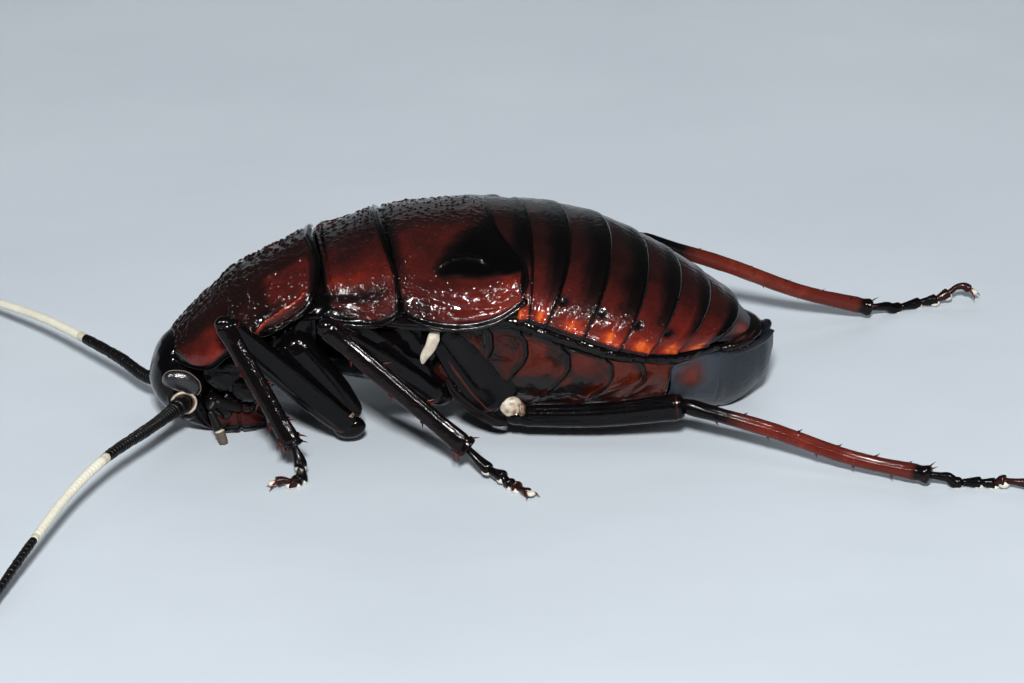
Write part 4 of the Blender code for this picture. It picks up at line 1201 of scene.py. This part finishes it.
def palp(name, way):
    parts = []
    for start, end, first, last, warmth in PALP:
        path = smooth_path(mirrored([start, end], way), 30)
        width = np.linspace(first, last, 30) * round_ends(30, 0.12, 0.16)

        def coat(t, angle, warmth=warmth):
            ends = rise(t, 0.9, 0.98) + rise(t, 0.14, 0.04)
            return coat_of(warmth + 0.4 * ends * (warmth > 0.2), 0.4, 0.1)

        parts.append(tube(path, width, width, (0, way, 0.1), coat))
    piece(f"palp_{name}_piece", parts, FEELER, f"palp_{name}")


# Feelers, from the socket outwards. Left is the near one.
ANTENNAE = {
    "left": (
        (-18.6, -3.05, 2.95), (-21.17, -7.8, 2.85), (-24.18, -13.32, 2.9), (-26.74, -18.8, 2.5),
        (-29.27, -26.1, 2.0), (-31.4, -32.3, 1.35), (-32.4, -35.6, 0.9),
    ),
    "right": (
        (-18.6, 3.05, 2.95), (-20.73, 4.5, 2.3), (-22.63, 8.0, 2.67), (-24.69, 12.3, 2.7),
        (-27.54, 18.4, 2.47), (-30.62, 24.5, 1.9), (-33.2, 29.6, 1.3), (-35.2, 33.6, 0.9),
    ),
}
# Run from the socket, half width.
ANTENNA_HALF = curve_through(
    ((0, 0.54), (1.2, 0.52), (2.4, 0.46), (6.0, 0.41), (12.0, 0.35), (25.0, 0.29), (33.0, 0.25), (36.5, 0.13))
)
SCAPE_END, PEDICEL_END = 1.45, 2.05
BAND_START, BAND_END, TIP_END = 12.15, 25.45, 35.9


def antenna(name):
    fine = smooth_path(ANTENNAE[name], 3000)
    run = runs(fine)
    end = min(TIP_END, run[-1])
    joints = [0.15, SCAPE_END, PEDICEL_END]
    while joints[-1] < end - 0.7:
        joints.append(joints[-1] + 0.27 + 0.012 * joints[-1])
    groups = {"base": [], "band": [], "tip": []}
    for start, stop in zip(joints, joints[1:]):
        spots = start + (stop - start) * np.array((-0.02, 0.03, 0.12, 0.3, 0.6, 0.85, 0.96, 1.0))
        shape = np.array((0.62, 0.9, 0.96, 0.98, 1.0, 1.02, 0.98, 0.78))
        shape = shape * (0.95 + 0.1 * scatter(len(groups["base"]) + len(groups["tip"]), 3, 31))
        if start < SCAPE_END:
            shape = np.array((0.7, 0.9, 1.0, 1.08, 1.16, 1.2, 1.1, 0.7))
        elif start < PEDICEL_END:
            shape = shape * 1.16
        half = ANTENNA_HALF(spots)[:, 0] * shape
        path = at_runs(spots, run, fine)
        group = "base" if stop < BAND_START else "band" if stop < BAND_END else "tip"
        if group == "band":
            shape = 1 - (1 - shape) * 0.35
            half = ANTENNA_HALF(spots)[:, 0] * shape
            edge = min(stop - BAND_START, BAND_END - stop)
            skin = (0.93 - 0.12 * (edge < 0.6), 0.8, 0.1)
        else:
            skin = (0.03 if group == "base" else 0.1, 0.45, 0.1)
        groups[group].append(tube(path, half, half, (0, 0, 1), skin, 16))
    for group, parts in groups.items():
        slot = "cream_band" if group == "band" else None
        piece(f"antenna_{group}_{name}_piece", parts, FEELER, f"antenna_{group}_{name}", slot=slot)


# Legs. Joints from the body outwards; the right ones are the far side. "down" gives the part of the foot's
# sixteen points that lies on the floor.
LEGS = {
    "front_left": {
        "coxa": ((-12.0, -5.9, 7.9), (-7.55, -4.95, 1.45)),
        "hip": (-7.65, -5.5, 1.2),
        "knee": (-16.06, -9.4, 10.19),
        "ankle": (-11.9, -11.66, 2.2),
        "foot": (
            (-11.6, -11.95, 1.35), (-11.62, -12.6, 0.62), (-12.2, -13.3, 0.45), (-12.8, -13.3, 0.6),
            (-13.3, -13.35, 0.5),
        ),
        "down": (7, 11),
    },
    "mid_left": {
        "coxa": ((-5.6, -6.5, 8.1), (-1.75, -5.3, 3.35)),
        "hip": (-1.65, -5.5, 3.05),
        "knee": (-9.5, -11.3, 10.2),
        "ankle": (-0.58, -13.22, 1.9),
        "foot": ((0.48, -14.4, 1.0), (1.61, -15.65, 0.62), (2.45, -17.2, 0.45), (2.85, -18.05, 0.4)),
        "down": (9, 14),
    },
    "hind_left": {
        "coxa": ((-1.2, -7.0, 8.9), (2.45, -7.4, 2.85)),
        "hip": (2.95, -7.6, 2.15),
        "knee": (14.13, -10.0, 2.97),
        "ankle": (28.7, -20.8, 0.95),
        "foot": ((30.6, -20.75, 0.58), (32.4, -21.2, 0.5), (33.5, -21.8, 0.62), (34.7, -22.4, 0.6)),
        "down": (4, 10),
    },
    "front_right": {
        "coxa": ((-12.0, 5.9, 7.9), (-8.6, 4.9, 1.9)),
        "hip": (-8.7, 5.4, 1.5),
        "knee": (-15.6, 9.2, 5.9),
        "ankle": (-10.9, 12.6, 2.0),
        "foot": ((-10.1, 13.3, 1.2), (-9.3, 14.4, 0.65), (-8.7, 15.5, 0.45), (-8.3, 16.4, 0.4)),
        "down": (9, 14),
    },
    "mid_right": {
        "coxa": ((-5.6, 6.5, 8.1), (-2.2, 5.4, 3.5)),
        "hip": (-2.1, 5.6, 3.2),
        "knee": (-8.2, 10.8, 7.4),
        "ankle": (1.2, 13.6, 1.9),
        "foot": ((2.2, 14.3, 1.15), (3.1, 15.3, 0.75), (4.0, 16.4, 0.5), (4.8, 17.4, 0.4)),
        "down": (9, 14),
    },
    "hind_right": {
        "coxa": ((-0.55, 7.0, 7.6), (2.45, 7.4, 2.95)),
        "hip": (2.85, 7.6, 2.4),
        "knee": (13.8, 12.4, 7.75),
        "ankle": (30.42, 15.2, 0.87),
        "foot": (
            (31.7, 16.2, 0.6), (32.9, 16.8, 0.4), (34.3, 17.4, 0.38), (35.4, 17.3, 0.6), (36.4, 17.6, 0.98),
            (37.2, 17.9, 1.3), (37.9, 17.6, 1.0),
        ),
        "down": (4, 7),
    },
}
# Half sizes, wide then thick, of each segment, the foot's half width, and how far the shin sags.
SIZES = {
    "front": {"coxa": (1.5, 1.05), "femur": (0.95, 0.62), "tibia": (0.62, 0.46), "foot": 0.44, "sag": 0.0},
    "mid": {"coxa": (1.4, 0.95), "femur": (0.85, 0.62), "tibia": (0.64, 0.46), "foot": 0.42, "sag": 0.0},
    "hind": {"coxa": (1.95, 0.9), "femur": (0.8, 0.72), "tibia": (0.5, 0.48), "foot": 0.4, "sag": -0.35},
}
# Spines of a shin: place along it, turn about it in degrees, length.
SPINES = {
    "front": (
        (0.5, 170, 0.6), (0.6, 350, 0.8), (0.78, 5, 0.9), (0.8, 185, 0.7), (0.9, 20, 0.9), (0.93, 340, 0.7),
        (0.93, 175, 0.8), (0.97, 60, 0.6), (0.97, 220, 0.8),
    ),
    "mid": (
        (0.22, 20, 0.5), (0.36, 200, 0.8), (0.5, 10, 0.6), (0.66, 195, 0.9), (0.68, 215, 0.8),
        (0.72, 15, 0.5), (0.94, 5, 0.9), (0.96, 30, 0.8), (0.97, 190, 0.7), (0.97, 330, 0.7),
    ),
    "hind": (
        (0.15, 10, 0.35), (0.25, 185, 0.3), (0.36, 15, 0.35), (0.47, 190, 0.35), (0.55, 5, 0.35),
        (0.63, 200, 0.4), (0.7, 12, 0.35), (0.78, 185, 0.4), (0.85, 8, 0.35), (0.9, 205, 0.45),
        (0.985, 10, 0.7), (0.985, 70, 0.55), (0.985, 180, 0.7), (0.985, 230, 0.6), (0.985, 320, 0.6),
    ),
}
TOE_STARTS = (0.0, 0.36, 0.54, 0.68, 0.79, 1.0)


def coxa(leg, joints, size, way, pair):
    top, low = np.array(joints["coxa"][0]), np.array(joints["coxa"][1])
    t = np.linspace(0, 1, 70)
    path = top + (low - top) * t[:, None]
    first = 0.85 if pair == "hind" else 0.62
    swell = np.interp(t, (0, 0.15, 0.4, 0.7, 0.9, 1.0), (first, 0.96, 1.0, 0.94, 0.78, 0.6))
    swell = swell * round_ends(70, 0.06, 0.08)
    wide, thick = size["coxa"]

    def relief(t, angle):
        upper = -way * np.cos(angle)
        outer = np.sin(angle)
        groove = -0.06 * bell(upper, 0.74, 0.06) * rise(outer, 0.1, 0.5) * rise(t, 0.05, 0.2)
        flange = 0.12 * rise(upper, 0.86, 1.0)
        return groove + flange + 0.012 * wrinkles(t * 5, angle * 1.5, 80)

    def coat(t, angle):
        upper = -way * np.cos(angle)
        warm = 0.06 + 0.58 * bell(upper, 0.76, 0.04) * rise(t, 0.2, 0.4) + 0.5 * rise(t, 0.95, 1.0)
        return coat_of(warm, 0.1, 0.3)

    parts = [tube(path, wide * swell, thick * swell, (0, way, 0.15), coat, 56, relief, power=0.93)]
    if pair == "hind":
        edge = [(-1.45, 7.35, 5.1), (-0.9, 7.4, 3.9), (0.36, 7.4, 2.72), (1.67, 7.4, 1.86), (2.6, 7.4, 1.6)]
        count = 60
        rim = smooth_path(mirrored(edge, way), count)
        width = 0.38 * round_ends(count, 0.6, 0.2)
        parts.append(tube(rim, width, width * 0.32, (0, way, 0.1), (0.2, 0.15, 0.1), power=0.9))
        rear = smooth_path(mirrored([(0.9, 7.5, 8.4), (2.1, 7.65, 6.2), (3.1, 7.6, 4.0)], way), count)
        width = 0.55 * round_ends(count, 0.1, 0.25)
        parts.append(tube(rear, width, width * 0.7, (0, way, 0.1), (0.05, 0.12, 0.1), 24, power=0.9))
    piece(f"coxa_{leg}_piece", parts, LEG, f"coxa_{leg}")


FEMUR_HAIRS = 26


def femur(leg, joints, size, way, pair):
    hip, knee = np.array(joints["hip"]), np.array(joints["knee"])
    sag = (0, 0, 0.3 if pair == "hind" else 0)
    count = 110
    path = smooth_path([hip, (hip + knee) / 2 - sag, knee], count)
    t = np.linspace(0, 1, count)
    profile = (0.66, 0.88, 1.0, 1.0, 0.95, 0.88, 0.95, 0.9)
    if pair == "hind":
        profile = (0.66, 0.84, 0.9, 0.95, 1.0, 1.06, 1.12, 1.02)
    swell = np.interp(t, (0, 0.08, 0.28, 0.5, 0.7, 0.88, 0.95, 1.0), profile)
    swell = swell * round_ends(count, 0.05, 0.045)
    wide, thick = size["femur"]

    def relief(t, angle):
        upper = -way * np.cos(angle)
        outer = np.sin(angle)
        middle = rise(t, 0.06, 0.15) * rise(t, 0.96, 0.88)
        lines = bell(upper, -0.72, 0.09) + 0.6 * bell(upper, 0.1, 0.07)
        groove = -0.09 * lines * rise(outer, 0, 0.4) * middle
        keel_line = 0.06 * rise(upper, -0.9, -1.0) * middle
        shoulder = 0.03 * bell(upper, 0.55, 0.15) * middle
        collar = -0.07 * bell(t, 0.955, 0.008)
        return groove + keel_line + shoulder + collar + 0.02 * wrinkles(t * 9, angle * 1.2, 84)

    def coat(t, angle):
        upper = -way * np.cos(angle)
        brown = bell(upper, -0.72, 0.16) * rise(t, 0.45, 0.05) * (0.34 if pair != "hind" else 0.12)
        warm = 0.04 + brown + 0.3 * bell(t, 0.955, 0.012) + 0.25 * rise(t, 0.04, 0.0)
        return coat_of(warm, 0.08 + 0.12 * rise(upper, 0.0, -0.5), 0.35)

    hint = np.array((0, way, 0.15))
    parts = [tube(path, wide * swell, thick * swell, hint, coat, 48, relief, power=0.82)]
    ahead = unit(knee - hip)
    broad, flat = across_limb(ahead, hint)
    cap = hip + (-0.25, 0, 0.15) if pair == "front" else hip + ahead * 0.2
    cap_half = np.array((1.1, 0.66, 0.78)) if pair == "front" else np.array((0.85, 0.6, 0.62))
    parts.append(ball(cap, cap_half, (0.08, 0.1, 0.1), 28))
    for n in range(FEMUR_HAIRS):
        k = int(8 + 96 * scatter(n, 4, len(leg)))
        turn = 2 * math.pi * scatter(n, 5, 3)
        out = broad * math.cos(turn) * wide + flat * math.sin(turn) * thick
        root = path[k] + out * swell[k] * 0.92
        parts.append(spike(root, root + unit(out) * 0.22 + ahead * 0.1, 0.02, (0.3, 0.3, 0), sides=4))
    piece(f"femur_{leg}_piece", parts, LEG, f"femur_{leg}")


def tibia(leg, joints, size, way, pair):
    knee, ankle = np.array(joints["knee"]), np.array(joints["ankle"])
    keys = [knee + (ankle - knee) * t for t in (-0.01, 0.35, 0.68, 1.0)]
    keys[2][2] += size["sag"]
    count = 120
    path = smooth_path(keys, count)
    t = np.linspace(0, 1, count)
    swell = np.interp(t, (0, 0.05, 0.16, 0.3, 0.8, 0.93, 1.0), (1.05, 1.08, 0.94, 1.02, 0.97, 1.08, 1.12))
    swell = swell * round_ends(count, 0.03, 0.012)
    wide, thick = size["tibia"]
    hind = pair == "hind"

    def relief(t, angle):
        upper = -way * np.cos(angle)
        outer = np.sin(angle)
        middle = rise(t, 0.05, 0.15) * rise(t, 0.98, 0.9)
        line = -0.045 * bell(upper, -0.45, 0.1) * rise(outer, 0, 0.4) * middle
        edge = 0.04 * bell(upper, 0.5, 0.12) * rise(outer, 0, 0.4) * middle
        cup = welt(t, 0.05, 0.985, 0.01, 0.05, 0.955, 0.012)
        return line + edge + cup + 0.02 * wrinkles(t * 12, angle * 1.3, 88)

    def coat(t, angle):
        upper = -way * np.cos(angle)
        if hind:
            warm = 0.05 + 0.62 * rise(t, 0.08, 0.34) - 0.1 * rise(t, 0.7, 0.9) - 0.42 * rise(t, 0.91, 0.97)
        else:
            warm = 0.07 + 0.16 * rise(upper, 0.1, 0.9) + 0.1 * noise(t * 9, angle, 89)
        return coat_of(warm + 0.1 * bell(t, 0.985, 0.01), 0.08, 0.35)

    hint = np.array((0, way, 0.15))
    parts = [tube(path, wide * swell, thick * swell, hint, coat, 40, relief, power=0.85)]
    ahead = unit(ankle - knee)
    broad, flat = across_limb(ahead, hint)
    for place, turn, length in SPINES[pair]:
        k = int(place * (count - 1))
        turn = math.radians(turn if way < 0 else 180 - turn)
        out = broad * math.cos(turn) * wide + flat * math.sin(turn) * thick
        root = path[k] + out * swell[k] * 0.8
        end = root + unit(out) * (length * 0.6 + 0.12) + ahead * length * 0.62
        if end[2] > 0.12:
            parts.append(spike(root, end, 0.065 if hind else 0.085, (0.5, 0.15, 0), ahead * -0.03, 9))
            knob = 0.11 if hind else 0.15
            parts.append(ball(path[k] + out * swell[k] * 0.94, (knob, knob, knob), (0.12, 0.1, 0), 10))
    bend = (wide * 0.99, thick * 1.04, wide * 0.99)
    parts.append(ball(knee, bend, (0.1, 0.1, 0), 24))
    piece(f"tibia_{leg}_piece", parts, LEG, f"tibia_{leg}", slot="redbrown_leg" if hind else None)


def tarsus(leg, joints, size, way, pair):
    knee, ankle = np.array(joints["knee"]), np.array(joints["ankle"])
    along = unit(ankle - knee)
    path = smooth_path([ankle - along * 0.2] + list(joints["foot"]), 16)
    half = size["foot"]
    first, last = joints["down"]
    for k in range(first, last + 1):
        path[k][2] = half * 0.85
    count, toe_count = 200, 26
    path = smooth_path(path, count)
    hint = (0, way, 0.15)
    parts = []
    for k, (start, stop) in enumerate(zip(TOE_STARTS, TOE_STARTS[1:])):
        spots = np.linspace(max(start - 0.02, 0), stop, toe_count)
        toe = at_runs(spots, np.linspace(0, 1, count), path)
        s = np.linspace(0, 1, toe_count)
        shape = 0.5 + 0.3 * rise(s, 0.3, 1.0) if k == 4 else 0.62 + 0.38 * rise(s, 0.1, 0.9)
        shape = shape * round_ends(toe_count, 0.12, 0.14) * half
        shine = (0.1 if k < 3 else 0.3, 0.35, 0.1)
        parts.append(tube(toe, shape, shape * 0.95, hint, shine, power=0.92))
        if k < 4:
            under = toe[21] - (0, 0, half * 0.55)
            parts.append(ball(under, (0.38, 0.32, 0.3), (1.0, 0.4, 0), 18))
            point = toe[23] + (toe[25] - toe[20]) * 0.5 + (0, 0, -0.22)
            parts.append(spike(toe[23], point, 0.05, (0.6, 0.2, 0)))
    end, ahead = path[-1], unit(path[-1] - path[-12])
    across = unit(np.array([-ahead[1], ahead[0], 0.0]))
    for turn in (-1, 1):
        root = end + across * turn * 0.1
        point = root + ahead * 0.55 + across * turn * 0.4
        point[2] = max(0.05, point[2] - 0.28)
        parts.append(spike(root - ahead * 0.1, point, 0.1, (0.62, 0.1, 0), (0, 0, 0.14), 9))
    parts.append(ball(end + ahead * 0.22, (0.3, 0.3, 0.2), (1.0, 0.4, 0), 16))
    piece(f"tarsus_{leg}_piece", parts, LEG, f"tarsus_{leg}")


# Soft pale skin between the plates and the legs: centre, half sizes, how pale.
SKIN_SPOTS = (
    ((2.74, 7.85, 2.92), (0.74, 0.42, 0.68), 0.62), ((3.42, 7.95, 2.66), (0.26, 0.42, 0.5), 0.3),
    ((-9.15, 5.7, 2.05), (0.4, 0.45, 0.22), 0.42), ((-8.0, 5.85, 2.3), (0.45, 0.4, 0.2), 0.38),
    ((-13.4, 5.9, 7.2), (0.45, 0.35, 0.6), 0.34),
)
FLAP = ((-2.08, 8.2, 8.9), (-2.43, 8.4, 7.74), (-2.92, 8.4, 6.94), (-3.1, 8.3, 6.35))


def membranes():
    def knobs(t, angle):
        return 0.1 * wrinkles(t * 4.5, angle * 1.6, 95) - 0.05

    def mottled(pale):
        def coat(t, angle):
            spots = rise(noise(t * 6, angle * 2.4, 96), 0.55, 0.85)
            return coat_of(pale + 0.14 * noise(t * 8, angle * 3, 97) - 0.34 * spots, 0.3)

        return coat

    parts = []
    for way in SIDES.values():
        for (x, y, z), radii, pale in SKIN_SPOTS:
            parts.append(ball((x, way * y, z), radii, mottled(pale), 30, knobs))
        count = 50
        path = smooth_path(mirrored(FLAP, way), count)
        width = np.interp(np.linspace(0, 1, count), (0, 0.3, 0.7, 1), (0.25, 0.42, 0.34, 0.16))
        width = width * round_ends(count, 0.1, 0.2)
        parts.append(tube(path, width, width * 0.4, (0, way, 0), (0.7, 0.4, 0)))
    piece("soft_skin", parts, SKIN)


LEG_STOPS = (
    (0.0, 0.001, 0.001, 0.0013), (0.25, 0.0036, 0.0022, 0.0022), (0.5, 0.056, 0.01, 0.007),
    (0.66, 0.068, 0.0096, 0.0066), (0.8, 0.17, 0.03, 0.015), (0.9, 0.32, 0.245, 0.175),
    (1.0, 0.45, 0.425, 0.37),
)
BELLY_STOPS = (
    (0.0, 0.0019, 0.0019, 0.0022), (0.22, 0.0057, 0.0047, 0.0047), (0.42, 0.0126, 0.0034, 0.0022),
    (0.6, 0.0299, 0.0037, 0.0019), (0.78, 0.0599, 0.0082, 0.0029), (0.9, 0.1008, 0.0205, 0.0047),
    (1.0, 0.1638, 0.0567, 0.0126),
)
# The two lowest tail stops are blue-grey: painted reflection of the pale floor on the dark plate. The higher
# stops are the plate's own red.
TAIL_STOPS = (
    (0.0, 0.0055, 0.0068, 0.0095), (0.2, 0.028, 0.034, 0.044), (0.45, 0.05, 0.015, 0.012),
    (0.75, 0.17, 0.025, 0.012), (1.0, 0.3, 0.08, 0.03),
)
FEELER_STOPS = (
    (0.0, 0.0016, 0.0015, 0.0018), (0.3, 0.009, 0.0074, 0.007), (0.6, 0.13, 0.1, 0.076),
    (0.85, 0.5, 0.47, 0.37), (1.0, 0.66, 0.64, 0.54),
)
SKIN_STOPS = (
    (0.2, 0.05, 0.018, 0.01), (0.5, 0.21, 0.13, 0.082), (0.75, 0.35, 0.32, 0.255), (1.0, 0.52, 0.5, 0.44),
)
SKIN_FOLDS = 3.0 * 2.2
PLATE = cuticle("plate_cuticle")
BELLY = cuticle("belly_cuticle", BELLY_STOPS, 0.14, (0.14, 0.4), 0.4)
TAIL = cuticle("tail_cuticle", TAIL_STOPS, 0.12, (0.2, 0.46), 0.2)
LEG = cuticle("leg_cuticle", LEG_STOPS, 0.1, (0.06, 0.4), 0.16)
FEELER = cuticle("feeler_cuticle", FEELER_STOPS, 0.08, (0.25, 0.55), 0.1)
SKIN = pale_skin()
EYE = eye_surface()

body_core()
for plate_number in range(1, 8):
    tergite(plate_number)
for plate_number in range(1, 7):
    sternite(plate_number)
metanotum()
mesonotum()
pronotum()
subgenital_plate()
supra_anal_plate()
underside("pterothorax", PTEROTHORAX, 1.35, 50)
underside("prothorax", PROTHORAX, 1.5, 54)
head()
neck()
sockets()
mouthparts()
membranes()
for side_name, side_way in SIDES.items():
    eye(side_name, side_way)
    palp(side_name, side_way)
    antenna(side_name)
    cercus(side_name, side_way)
    pleura(side_name, side_way)
for leg_name, leg_joints in LEGS.items():
    leg_pair, leg_side = leg_name.split("_")
    for build in (coxa, femur, tibia, tarsus):
        build(leg_name, leg_joints, SIZES[leg_pair], SIDES[leg_side], leg_pair)

FLOOR = 900.0
corners = [(-FLOOR, -FLOOR, 0), (FLOOR, -FLOOR, 0), (FLOOR, FLOOR, 0), (-FLOOR, FLOOR, 0)]
floor_mesh = bpy.data.meshes.new("floor")
floor_mesh.from_pydata(placed(corners).tolist(), [], [(0, 1, 2, 3)])
floor_mesh.materials.append(floor_surface())
floor = added("floor", floor_mesh)
add_camera()
add_lamps()
